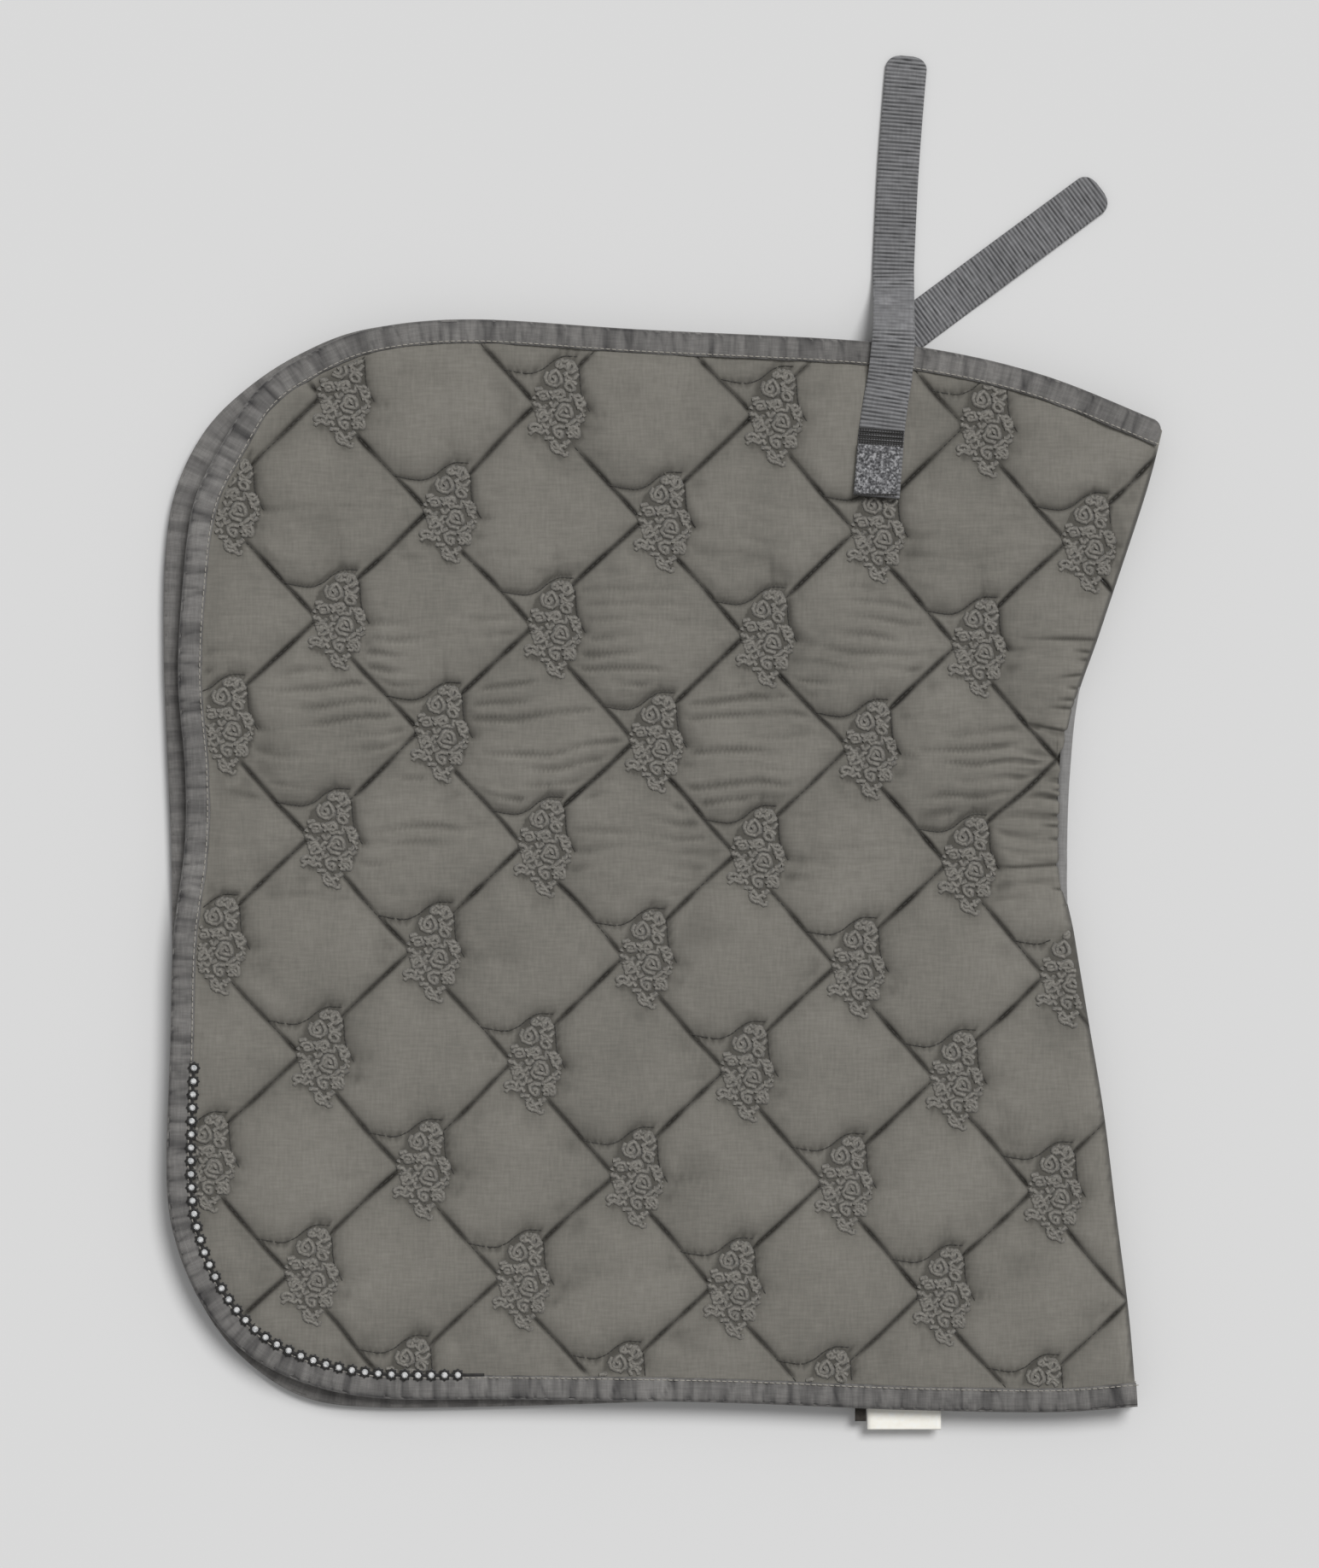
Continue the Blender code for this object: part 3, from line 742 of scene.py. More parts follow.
def fan(local):
    """Short folds that run out from the tip and the top of each ornament."""
    x, y = local.T
    ahead = np.clip((x - 25.0) / 3.0, 0, 1) * np.exp(-np.clip(x - 28.0, 0, None) / 11.0)
    side = np.exp(-((y + 2.6) / 1.6) ** 2) + 0.7 * np.exp(-((y + 13.0) / 2.2) ** 2)
    fade = np.clip(y - 27.0, 0, None)
    above = np.exp(-((x - 14.5) / 1.5) ** 2) * np.clip((y - 25.0) / 2.0, 0, 1) * (
        np.exp(-fade / 5.0) + 0.3 * np.exp(-fade / 30.0))
    return -0.75 * (ahead * side + above)


def pleated(plan, back):
    """Sharp pleats that run in from the spine tape, as a depth from 0 to 1."""
    level = plan[:, 1]
    depths = [np.exp(-((level - at - slant * back) / PLEAT_HALF_W) ** 2)
              * np.clip(1.7 - 1.5 * back / reach, 0, 1) for at, reach, slant in PLEATS]
    return np.max(depths, axis=0)


def wrinkles(plan, sewn, lattice, local, back):
    """Folds and puckers that the sewing pulls into the cloth, in millimetres."""
    x, y = plan.T
    free = step_up(sewn, 1.5, 8.0)
    waist = 0.12 + np.exp(-((y - 78.0) / 66.0) ** 2) * step_up(
        noise_at(x / 60.0, y / 45.0, 4.4), -0.45, 0.15)
    at_spine = np.exp(-(back / 30.0) ** 2) * np.exp(-((y - 55) / 80.0) ** 2)
    off = np.abs(lattice - np.round(lattice))
    along = np.where(off[:, 0] < off[:, 1], lattice[:, 1], lattice[:, 0] + 20.0)
    puckers = noise_at(along * 8.0, sewn / 16.0, 5.0) * np.exp(-((sewn - 6.0) / 6.0) ** 2)
    slack = noise_at(x / 34.0, y / 26.0, 9.0)
    return (WAIST_FOLD * folds_across(x, y, WAIST_PITCH, 3.1) * waist * free
            + SPINE_FOLD * folds_across(x, y, SPINE_PITCH, 6.3) * at_spine
            + SEAM_PUCKER * puckers + SLACK * slack * free + FAN * fan(local))


print("pleats at the spine:", len(PLEATS))

# %% [markdown]
# A finished piece carries two things for its material: its painted shade at each point,
# which is strongest deep in a crease, and where each point lies on the flat cloth. Both are
# stored on the mesh itself. Every piece is drawn cover up and then put on the folded pad,
# which turns the right half over.

# %% Creases, flat maps and places
LOWEST = 0.02


def painted_shade_of(piece):
    """The "crease" of each point of a piece: how strong its painted shade is."""
    values = np.zeros(len(piece.data.vertices), np.float32)
    piece.data.attributes["crease"].data.foreach_get("value", values)
    return values


def set_painted_shade(piece, values):
    """Store the painted shade of each point as "crease", for the material to read."""
    if "crease" not in piece.data.attributes:
        piece.data.attributes.new("crease", "FLOAT", "POINT")
    piece.data.attributes["crease"].data.foreach_set("value", np.asarray(values, np.float32))


def flat_map(piece, plan):
    """A UV map in metres, from one plan position in millimetres for each point."""
    layer = piece.data.uv_layers.new(name="cloth")
    index = np.zeros(len(piece.data.loops), int)
    piece.data.loops.foreach_get("vertex_index", index)
    layer.data.foreach_set("uv", (plan[index] * MM).astype(np.float32).ravel())


def put(piece, side):
    """Put a piece drawn cover up in its place on the folded pad; the right half turns over."""
    points = points_of(piece)
    sign = 1 if side == "left" else -1
    points[:, 2] = np.maximum(MID_PLANE + sign * (LINING_GAP + points[:, 2]), LOWEST)
    move_points(piece, points)
    if side == "right":
        piece.data.flip_normals()
    return piece


print("the lowest point may lie", LOWEST, "mm above the floor")

# %% [markdown]
# Now the real shell: the fine grid takes the heights of the simulated one, the seams cut
# grooves in it, the folds are added, and the cover and lining are kept a little apart. The
# painted shades follow the same distances, so that a painted dark line always lies in its own
# groove.

# %% The two padded panels
LEAST_T = 0.6
LOFT = 0.85
GROOVE_DEPTH, PLEAT_DEPTH, PATCH_DEPTH = 1.7, 1.3, 0.3
GROOVE_HALF_W, CREASE_HALF_W = 1.6, 2.2


def panel(side):
    """One half's padded shell, drawn cover up, and its surface for what is sewn onto it."""
    piece = flat_shell(side + "_quilted_panel", side, FINE_CELLS, FINE_ROWS, finer=side == "left")
    points = points_of(piece)
    plan = points[:, :2]
    upper = points[:, 2] > 0.5
    cover, lining, _, turn = shell_heights(plan, side, 1.0)
    puffed = puffed_shell(side)
    cover[upper] = heights_on(puffed, plan[upper], cover[upper])
    lining[~upper] = heights_on(puffed, plan[~upper], lining[~upper], from_above=False)
    sewn, seam, crease, covered = sewn_distances(plan)
    edge = distance_to(plan, bound[side])[0]
    back = distance_to(plan, cover_end)[0]
    lattice, local = lattice_place(plan)
    open_cloth = step_up(edge, BINDING_W - 1.0, BINDING_W + 4.0)
    groove = np.maximum(np.exp(-(seam / GROOVE_HALF_W) ** 2), 0.8 * np.exp(-(crease / CREASE_HALF_W) ** 2))
    wrinkle = wrinkles(plan, sewn, lattice, local, back)
    pleat = pleated(plan, back)
    uneven = 1 + 0.6 * noise_at(plan[:, 0] / 14.0, plan[:, 1] / 14.0, 41.0)
    fine = wrinkle - GROOVE_DEPTH * groove * uneven - PATCH_DEPTH * covered - PLEAT_DEPTH * pleat
    cover = np.minimum(cover, SEAM_TOP + (cover - SEAM_TOP) * LOFT) + fine * open_cloth
    cover = np.maximum(cover * turn, LEAST_T)
    lining = np.clip(lining, 0, RIM_BASE) * turn
    points[:, 2] = np.where(upper, np.maximum(cover, lining + LEAST_T), lining)
    if side == "right":
        points[:, 2] = np.minimum(points[:, 2], HALF_T)
    move_points(piece, points)
    # Painted shade: the cover is darker in its folds and where it rolls down at the spine.
    folds = 0.42 * np.clip(-0.25 - wrinkle, 0, 1)
    spine_edge_shade = 0.75 * (1 - step_up(back, 1.0, 3.4))
    # Painted shade, the darkest of everything that shades a point: seams, creases, the ground
    # under ornaments, folds, pleats, a soft shade near every seam, and the spine's rolled edge.
    shade = np.maximum.reduce([
        0.92 * np.exp(-(seam / 1.7) ** 2) * uneven, 0.72 * np.exp(-(crease / 1.9) ** 2), 0.6 * covered,
        folds + 0.3 * np.exp(-sewn / 5.0), 0.8 * pleat, spine_edge_shade])
    # The lining gets painted shade along its seams.
    depth = np.where(upper, shade, 0.75 * np.exp(-(seam / GROOVE_HALF_W) ** 2)) * open_cloth
    set_painted_shade(piece, depth)
    flat_map(piece, plan)
    piece.data.shade_smooth()
    piece.data.materials.append(QUILT)
    piece.data.materials.append(LINING)
    facing = np.zeros(len(piece.data.polygons) * 3)
    piece.data.polygons.foreach_get("normal", facing)
    piece.data.polygons.foreach_set("material_index", (facing[2::3] < -0.3).astype(int))
    surface = BVHTree.FromObject(piece, bpy.context.evaluated_depsgraph_get())
    return put(piece, side), surface


panels, surfaces = {}, {}
for side in ("left", "right"):
    panels[side], surfaces[side] = panel(side)
print("panels:", {side: len(p.data.polygons) for side, p in panels.items()}, "faces")

# %% [markdown]
# ## Swept and scattered shapes
#
# Two functions make almost everything that is sewn to the panels. A swept skin joins a row
# of rings, for binding, webbing and tape. Scattered copies repeat one small shape along a
# line, for stitches, crystals and hooks, and stay one mesh, so thousands cost little. A
# curve with a bevel would also sweep, but it can't taper its section or shade each ring.


# %% Sweep a section
def swept(name, rings, finish, lengths=None, shades=None):
    """A closed skin over a row of rings, in millimetres, with a map along and round it.

    Each ring may have a painted shade, which becomes the "crease" of its points.
    """
    count, size = rings.shape[:2]
    bm = bmesh.new()
    bmesh.ops.create_grid(bm, x_segments=size, y_segments=count - 1, size=1.0)
    looped = np.concatenate([rings, rings[:, :1]], 1)
    for vert, place in zip(bm.verts, looped.reshape(-1, 3) * MM):
        vert.co = place
    if lengths is None:
        steps = np.linalg.norm(np.diff(rings.mean(1), axis=0), axis=1)
        lengths = np.r_[0, np.cumsum(steps)]
    round_it = np.r_[0, np.cumsum(np.linalg.norm(np.diff(looped[count // 2], axis=0), axis=1))]
    layer = bm.loops.layers.uv.new("cloth")
    for face in bm.faces:
        for corner in face.loops:
            row, column = divmod(corner.vert.index, size + 1)
            corner[layer].uv = (lengths[row] * MM, round_it[column] * MM)
    if shades is not None:
        crease = bm.verts.layers.float.new("crease")
        for vert in bm.verts:
            vert[crease] = shades[vert.index // (size + 1)]
    bmesh.ops.remove_doubles(bm, verts=bm.verts, dist=1e-7)
    bmesh.ops.holes_fill(bm, edges=bm.edges)
    bmesh.ops.recalc_face_normals(bm, faces=bm.faces)
    piece = object_from(name, bm)
    piece.data.shade_smooth()
    piece.data.materials.append(finish)
    return piece


print("the sweep is ready")


# %% Scatter, stitch and tube
def scattered(name, template, places, finish, smooth=True):
    """Copies of a small bmesh, in millimetres, at each 4 x 4 place, as one mesh."""
    points = np.array([v.co for v in template.verts])
    faces = [[v.index for v in f.verts] for f in template.faces]
    template.free()
    placed = np.einsum("nij,kj->nki", places[:, :3, :3], points) + places[:, None, :3, 3]
    mesh = bpy.data.meshes.new(name)
    mesh.from_pydata((placed * MM).reshape(-1, 3).tolist(), [],
                     [[i + k * len(points) for i in f] for k in range(len(places)) for f in faces])
    if smooth:
        mesh.shade_smooth()
    mesh.materials.append(finish)
    return linked(name, mesh)


def places_along(line, heights):
    """A 4 x 4 place at each point of a line: x runs along it, z points up."""
    spots = np.column_stack([line, heights])
    run = np.gradient(spots, axis=0)
    run /= np.linalg.norm(run, axis=1, keepdims=True)
    across = np.cross((0, 0, 1), run)
    across /= np.linalg.norm(across, axis=1, keepdims=True)
    places = np.tile(np.eye(4), (len(line), 1, 1))
    places[:, :3, 0], places[:, :3, 1], places[:, :3, 2] = run, across, np.cross(run, across)
    places[:, :3, 3] = spots
    return places


EDGE_STITCH, SEAM_STITCH, TACK_STITCH = (3.0, 0.7), (3.0, 0.8), (1.7, 1.15)


def stitch_shape(length, width):
    """One stitch: a short thread that dips into the cloth at both ends."""
    bm = bmesh.new()
    bmesh.ops.create_uvsphere(bm, u_segments=6, v_segments=4, radius=0.5)
    bmesh.ops.rotate(bm, matrix=Vector((0, 0, 1)).rotation_difference(Vector((1, 0, 0))).to_matrix(),
                     verts=bm.verts)
    bmesh.ops.scale(bm, vec=(length, width, width * 0.7), verts=bm.verts)
    return bm


def tubes(name, lines, radius, finish):
    """Round threads along many lines of (x, y, z) in millimetres, as one mesh."""
    data = bpy.data.curves.new(name, "CURVE")
    data.dimensions = "3D"
    data.bevel_depth = radius * MM
    data.bevel_resolution = 0
    data.use_fill_caps = True
    for line in lines:
        spline = data.splines.new("POLY")
        spline.points.add(len(line) - 1)
        spline.points.foreach_set("co", np.column_stack([line * MM, np.ones(len(line))]).ravel())
    drawn = linked(name + "_lines", data)
    graph = bpy.context.evaluated_depsgraph_get()
    mesh = bpy.data.meshes.new_from_object(drawn.evaluated_get(graph))
    bpy.data.objects.remove(drawn)
    mesh.name = name
    mesh.materials.clear()
    mesh.materials.append(finish)
    mesh.shade_smooth()
    return linked(name, mesh)


def cover_height(side, plan):
    """The height of one half's cover at each place of a plan."""
    return heights_on(surfaces[side], plan, np.full(len(plan), RIM_TOP))


print("a stitch has", len(stitch_shape(*EDGE_STITCH).faces), "faces")

# %% [markdown]
# ## Binding with a sewn edge
#
# The binding is a folded tape that grips the rim. Its section is a U with real thickness,
# and it is swept along the bound edge. Sewing a straight tape round a curve puckers it, so
# its faces rise and fall by up to a millimetre every few millimetres. The corner at the
# front of the spine is rounded, and a row of light stitches holds the tape down.

# %% Binding and its stitches
BINDING_SECTION = [  # how far inside the edge, and how far above the middle of the rim
    (13.4, 2.0), (13.3, 2.7), (12.0, 3.0), (9.0, 3.05), (5.5, 3.1), (2.5, 2.95), (0.8, 2.3), (0.1, 1.1),
    (0.0, 0.0), (0.1, -1.1), (0.8, -2.3), (2.5, -2.95), (5.5, -3.1), (9.0, -3.05), (12.0, -3.0),
    (13.3, -2.7), (13.4, -2.0), (12.4, -1.9), (1.4, -1.9), (1.2, 0.0), (1.4, 1.9), (12.4, 1.9),
]
BINDING_STEP = 1.5
PUCKER = 0.95
CORNER_ROUND = 7.0
EDGE_SWAY = 0.35
BINDING_RISE = 3.2
FOLD_SHADE = 0.34
STITCH_INSET = 12.2
STITCH_PITCH = 3.3


def pucker(length, depth, seed):
    """The rise and fall of a gathered tape: soft swells parted by narrow folds across it."""
    swell = noise_at(length / 5.0, depth / 26.0, seed)
    fold = np.exp(-np.abs(noise_at(length / 7.0, depth / 30.0, seed + 4)) * 9.0)
    return 0.6 * swell - 1.1 * fold


def binding(side):
    """One half's edge binding, drawn cover up."""
    line = evenly(bound[side], BINDING_STEP)
    inwards = left_normals(line)
    lengths = np.arange(len(line)) * BINDING_STEP
    seed = 11.0 if side == "left" else 23.0
    rings = []
    corner = np.clip(1 - lengths / CORNER_ROUND, 0, 1)
    rounding = CORNER_ROUND * (1 - np.sqrt(1 - corner ** 2))
    for depth, height in BINDING_SECTION:
        swell = PUCKER * pucker(lengths, np.full(len(line), depth), seed) * np.sign(height) * (depth < 13)
        sway = EDGE_SWAY * noise_at(lengths / 9.0, np.full(len(line), 0.5), seed + 9) * (depth > 11)
        spot = line + inwards * np.maximum(depth + sway, np.minimum(rounding, 9.0) + 0.1 * depth)[:, None]
        rings.append(np.column_stack([spot, RIM_MID + height + (abs(height) > 2) * swell]))
    # Painted shade: darker patches at random places along the binding's folds, and darker still where its
    # upper face dips between puckers.
    shades = FOLD_SHADE * step_up(noise_at(lengths / 6.5, lengths / 90.0, seed + 3), 0.0, 0.3)
    piece = swept(side + "_binding", np.stack(rings, 1), BINDING, lengths, shades)
    high = points_of(piece)[:, 2]
    hollow = np.clip((RIM_MID + 3.0 - high) / (2 * PUCKER), 0, 1) * (high > RIM_MID + 1.5)
    set_painted_shade(piece, np.minimum(painted_shade_of(piece) + hollow, 1))
    return piece


bindings, edge_stitches = {}, {}
for side in ("left", "right"):
    bindings[side] = put(binding(side), side)
    row = evenly(inset(bound[side], STITCH_INSET), STITCH_PITCH)
    places = places_along(row, np.full(len(row), RIM_MID + BINDING_RISE))
    stitches = scattered(side + "_edge_stitches", stitch_shape(*EDGE_STITCH), places, EDGE_THREAD)
    edge_stitches[side] = put(stitches, side)
print("edge stitches:", len(row), "on each half")

# %% [markdown]
# ## Quilting stitches and the embroidered ornament
#
# The quilting thread lies deep in its groove. The ornament is a plain scroll with a few
# leaves, drawn once as lines round a crossing and repeated at each. The lines become round
# threads laid on the cloth, and any part that would run under the binding is left out.

# %% Seams and ornaments
SEAM_PITCH = 3.6
DIAMOND_SIDE = 84.0
CREASE_PITCH = 2.4
FOLD_CLEAR, CREASE_CLEAR = 3.0, 14.0
ROUGH_HALF = np.array([300.0, 330.0])


def allowed(plan, side, margin):
    """Which places lie on the open cloth of one half, clear of its binding and its fold."""
    within = inside(plan, panel_loop(side))
    return within & (distance_to(plan, bound[side])[0] > BINDING_W + margin) & (
        distance_to(plan, cover_end)[0] > FOLD_CLEAR)


def runs(line, keep):
    """The unbroken stretches of a line that are kept."""
    edges = np.flatnonzero(np.diff(np.r_[0, keep.astype(int), 0]))
    return [line[a:b] for a, b in zip(edges[::2], edges[1::2]) if b - a > 2]


def crossings():
    """The middle of every crossing on the panel that has an ornament."""
    spots = on_plan(np.array([(i, j) for i in range(-REACH, REACH) for j in range(-REACH, REACH)], float))
    spots = spots[distance_to(spots, cover_end)[0] > BARE_NEAR_SPINE]
    return [spot for spot in spots if (np.abs(spot) < ROUGH_HALF).all()]


def seam_rows(side):
    """Points along every quilting seam of one half, each row with its places."""
    rows = []
    along = np.arange(-REACH, REACH, SEAM_PITCH / DIAMOND_SIDE)
    for number in range(-REACH, REACH + 1):
        for lattice in (np.column_stack([along, np.full(len(along), number)]),
                        np.column_stack([np.full(len(along), number), along])):
            plan = on_plan(lattice)
            kept = plan[allowed(plan, side, 0.5)]
            if len(kept) > 2:
                rows.append(kept[~inside(lattice_place(kept)[1], PATCH)])
    # Dark thread also runs along each ornament's smile and side creases, where it stands for their shadow:
    # painted shade.
    creases = [evenly(line, CREASE_PITCH) for line in (SMILE_CREASE, SIDE_CREASE)]
    for centre in crossings():
        for crease in creases:
            place = crease + centre
            rows += runs(place, allowed(place, side, 0.5) & (distance_to(place, cover_end)[0] > CREASE_CLEAR))
    return [row for row in rows if len(row) > 2]


print("ornaments:", len(crossings()), "before the edges cut some off")

# %% [markdown]
# The ornament itself is drawn by small functions: a spiral for each scroll, a pointed loop
# for each leaf, and wavy rows of thread for the ground between them. Real embroidery is
# uneven, so the finished drawing is pushed about a little by noise.

# %% Draw the ornament
THREAD_R = 1.4
HAND, HAND_SPAN = 2.2, 4.2


def spiral(x, y, radius, turns, start, hand=1):
    """A scroll that winds in to its centre."""
    t = np.linspace(0, 1, int(12 * turns))
    angle = start + hand * t * turns * 2 * math.pi
    reach = radius * (1 - 0.82 * t)
    return np.column_stack([x + reach * np.cos(angle), y + reach * np.sin(angle)])


def leaf(x, y, heading, length, width):
    """A closed leaf that grows from a point."""
    t = np.linspace(0, math.pi, 7)
    out = np.column_stack([length * (1 - np.cos(t)) / 2, width / 2 * np.sin(t)])
    loop = np.vstack([out, out[-2::-1] * (1, -1)])
    c, s = math.cos(heading), math.sin(heading)
    return loop @ np.array([[c, s], [-s, c]]) + (x, y)


# Scrolls: place, radius, turns, first angle and hand. Leaves: place, heading, length and width.
SCROLLS = [(9.5, 14.5, 5.2, 1.9, 2.4, 1), (15.5, -4.0, 5.4, 1.9, -1.2, -1), (18.5, 10.0, 3.4, 1.4, 0.4, 1),
           (4.0, 4.5, 3.4, 1.4, 3.0, -1), (12.5, -15.5, 3.6, 1.4, 1.0, 1)]
LEAVES = [
    (17.0, 18.5, 1.0, 6.0, 3.8), (19.5, -12.0, -1.1, 6.0, 3.6), (4.5, -4.0, -1.9, 6.5, 3.6),
    (9.0, -20.5, -1.0, 7.0, 3.4), (22.0, 2.5, -0.6, 5.0, 3.0), (1.5, -12.5, 3.3, 4.5, 2.4),
    (8.8, 4.5, 0.3, 6.5, 3.2), (11.0, 20.5, 1.2, 3.6, 2.4),
]
FILL_STEP, FILL_POINT, FILL_CLEAR = 3.0, 1.1, 0.7


def filling():
    """Wavy rows of thread over the rest of the patch, broken where a scroll or leaf lies."""
    rows = []
    for number, level in enumerate(np.arange(-27.0, 27.0, FILL_STEP)):
        x = np.arange(-6.0, 29.0, FILL_POINT)
        wave = 1.15 * np.sin(x * 1.25 + 2.1 * number) + 0.5 * np.sin(x * 0.55 + number)
        row = np.column_stack([x, level + wave])
        open_row = inside(row, PATCH)
        for cx, cy, radius, *_ in SCROLLS:
            open_row &= np.hypot(row[:, 0] - cx, row[:, 1] - cy) > radius + FILL_CLEAR
        rows += runs(row, open_row)
    return rows


def hand_drawn(line):
    """A drawn line with the unevenness of raised embroidery."""
    x, y = line.T / HAND_SPAN
    return line + HAND * np.column_stack([noise_at(x, y, 51.0), noise_at(x, y, 57.0)])


ORNAMENT = [hand_drawn(line) for line in
            [spiral(*s) for s in SCROLLS] + [leaf(*one) for one in LEAVES] + filling()]


print("the ornament has", len(ORNAMENT), "lines")


# %% Sew the seams and the ornaments
def ornament_lines(side):
    """Every thread of every ornament of one half, laid on its cover."""
    lines = []
    for centre in crossings():
        for drawn in ORNAMENT:
            lines += runs(drawn + centre, allowed(drawn + centre, side, 0.8))
    whole = np.vstack(lines)
    heights = cover_height(side, whole)
    ends = np.cumsum([len(line) for line in lines])[:-1]
    return np.split(np.column_stack([whole, heights]), ends)


quilting, ornaments = {}, {}
for side in ("left", "right"):
    rows = seam_rows(side)
    places = np.concatenate([places_along(r, cover_height(side, r) + 0.1) for r in rows])
    quilting[side] = put(
        scattered(side + "_quilting_stitches", stitch_shape(*SEAM_STITCH), places, SEAM_THREAD), side)
    ornaments[side] = put(
        tubes(side + "_ornaments", ornament_lines(side), THREAD_R, EMBROIDERY), side)
print("quilting stitches:", len(places), "and ornament faces:", len(ornaments["right"].data.polygons))

# %% [markdown]
# ## Crystal trim
#
# A row of crystals runs inside the binding, from the lower edge round the rear corner. Each
# one is a faceted dome in a dark round cup, and the cups sit on a dark cord that ends just
# past the last of them. Facets stay flat shaded, because their hard edges make the sparkle.

# %% Crystals, cups and cord
BEAD_INSET = 13.9
BEAD_PITCH = 7.33
BEAD_COUNT = 38
BEAD_START_Y = -111.9
CORD_STEPS = 8
CORD_TAIL = 9
CORD_R = 0.8
CRYSTAL_R, CRYSTAL_H = 2.05, 1.5
CUP_R, CUP_H = 2.9, 1.2


def crystal_shape():
    """A cut crystal: an eight-sided dome with a flat table."""
    bm = bmesh.new()
    bmesh.ops.create_cone(
        bm, cap_ends=True, segments=8, radius1=CRYSTAL_R, radius2=CRYSTAL_R / 2, depth=CRYSTAL_H)
    girdle = [e for e in bm.edges if all(v.co.z < 0 for v in e.verts)]
    bmesh.ops.bevel(bm, geom=girdle, offset=0.45, segments=1, affect="EDGES", profile=0.5, material=-1)
    bmesh.ops.translate(bm, vec=(0, 0, 1.9), verts=bm.verts)
    return bm


def cup_shape():
    """A dark round setting with a raised lip."""
    bm = bmesh.new()
    bmesh.ops.create_cone(bm, cap_ends=True, segments=16, radius1=CUP_R, radius2=CUP_R - 0.2, depth=CUP_H)
    bmesh.ops.translate(bm, vec=(0, 0, CUP_H / 2), verts=bm.verts)
    rim = [f for f in bm.faces if len(f.verts) == 16 and f.normal.z > 0.5]
    bmesh.ops.inset_region(bm, faces=rim, thickness=0.6, depth=-0.4)
    prongs = [v for v in bm.verts if math.hypot(v.co.x, v.co.y) > 2.5][::2]
    bmesh.ops.scale(bm, vec=(1.28, 1.28, 1.0), verts=prongs)
    return bm


crystals, cups, cords = {}, {}, {}
for side in ("left", "right"):
    trim = evenly(inset(bound[side], BEAD_INSET), BEAD_PITCH / CORD_STEPS)
    start = int((np.abs(trim[:, 1] - BEAD_START_Y) + 1000 * (trim[:, 0] > 0)).argmin())
    row = trim[start:start + CORD_STEPS * BEAD_COUNT:CORD_STEPS]
    cord = trim[start:start + CORD_STEPS * BEAD_COUNT + CORD_TAIL]
    high = np.clip(cover_height(side, cord), RIM_MID + 3.0, HALF_T - 2.6)
    places = places_along(row, high[:CORD_STEPS * BEAD_COUNT:CORD_STEPS] - 0.2)
    cords[side] = put(
        tubes(side + "_bead_cord", [np.column_stack([cord, high + CORD_R / 2])], CORD_R, CUP), side)
    crystals[side] = put(scattered(side + "_crystals", crystal_shape(), places, CRYSTAL, False), side)
    cups[side] = put(scattered(side + "_bead_cups", cup_shape(), places, CUP), side)
print("crystals:", BEAD_COUNT, "on each half")

# %% [markdown]
# ## Straps of ribbed webbing
#
# Webbing is woven with heavy cross threads, so its faces are ribbed. The ribs are real: the
# rings of the sweep stand at four places in each rib and rise or fall by a third of a
# millimetre, and the valleys between them are painted darker as painted shade. Each strap is
# one length of webbing from its sewn end to its rounded tip. The left one comes down over the
# bound edge, and the right one lies on the floor, bent askew.

# %% Straps
RIB_PITCH = 2.2
RIB_H = 0.32
WEBBING_T = 1.3
TIP_ROUND = 7.0
WEBBING_HALF = [(-0.5, 0.0), (-0.49, 0.3), (-0.44, 0.5), (-0.2, 0.52), (0.0, 0.53)]
WEBBING_SECTION = WEBBING_HALF + [(-across, up) for across, up in WEBBING_HALF[-2::-1]] + [
    (0.49, -0.3), (0.44, -0.5), (0.2, -0.5), (-0.2, -0.5), (-0.44, -0.5), (-0.49, -0.3)]
LEFT_STRAP = [  # each strap's middle line, from the sewn end to the tip
    (117.5, 202.5, 23.6), (119.0, 221.0, 23.7), (120.4, 238.5, 23.4), (122.6, 255.0, 23.3),
    (125.1, 270.0, 23.3), (126.6, 286.0, 23.1), (127.2, 297.0, 21.0), (127.5, 306.0, 14.5),
    (127.7, 316.0, 6.5), (127.8, 325.0, 2.9), (128.0, 336.0, 1.95), (130.3, 383.3, 1.95),
    (133.4, 425.0, 1.95), (135.5, 448.4, 1.95),
]
RIGHT_STRAP = [
    (117.5, 202.5, 1.95), (119.8, 231.0, 1.95), (120.3, 240.0, 1.35), (120.4, 250.0, 1.05),
    (120.6, 262.0, 1.05), (123.0, 277.0, 1.05), (130.3, 290.5, 1.05), (140.7, 299.2, 1.05),
    (151.0, 306.9, 1.05), (160.0, 313.6, 1.05), (172.0, 322.5, 1.75), (186.0, 332.9, 1.95),
    (215.0, 354.4, 1.95), (242.8, 375.0, 1.95),
]


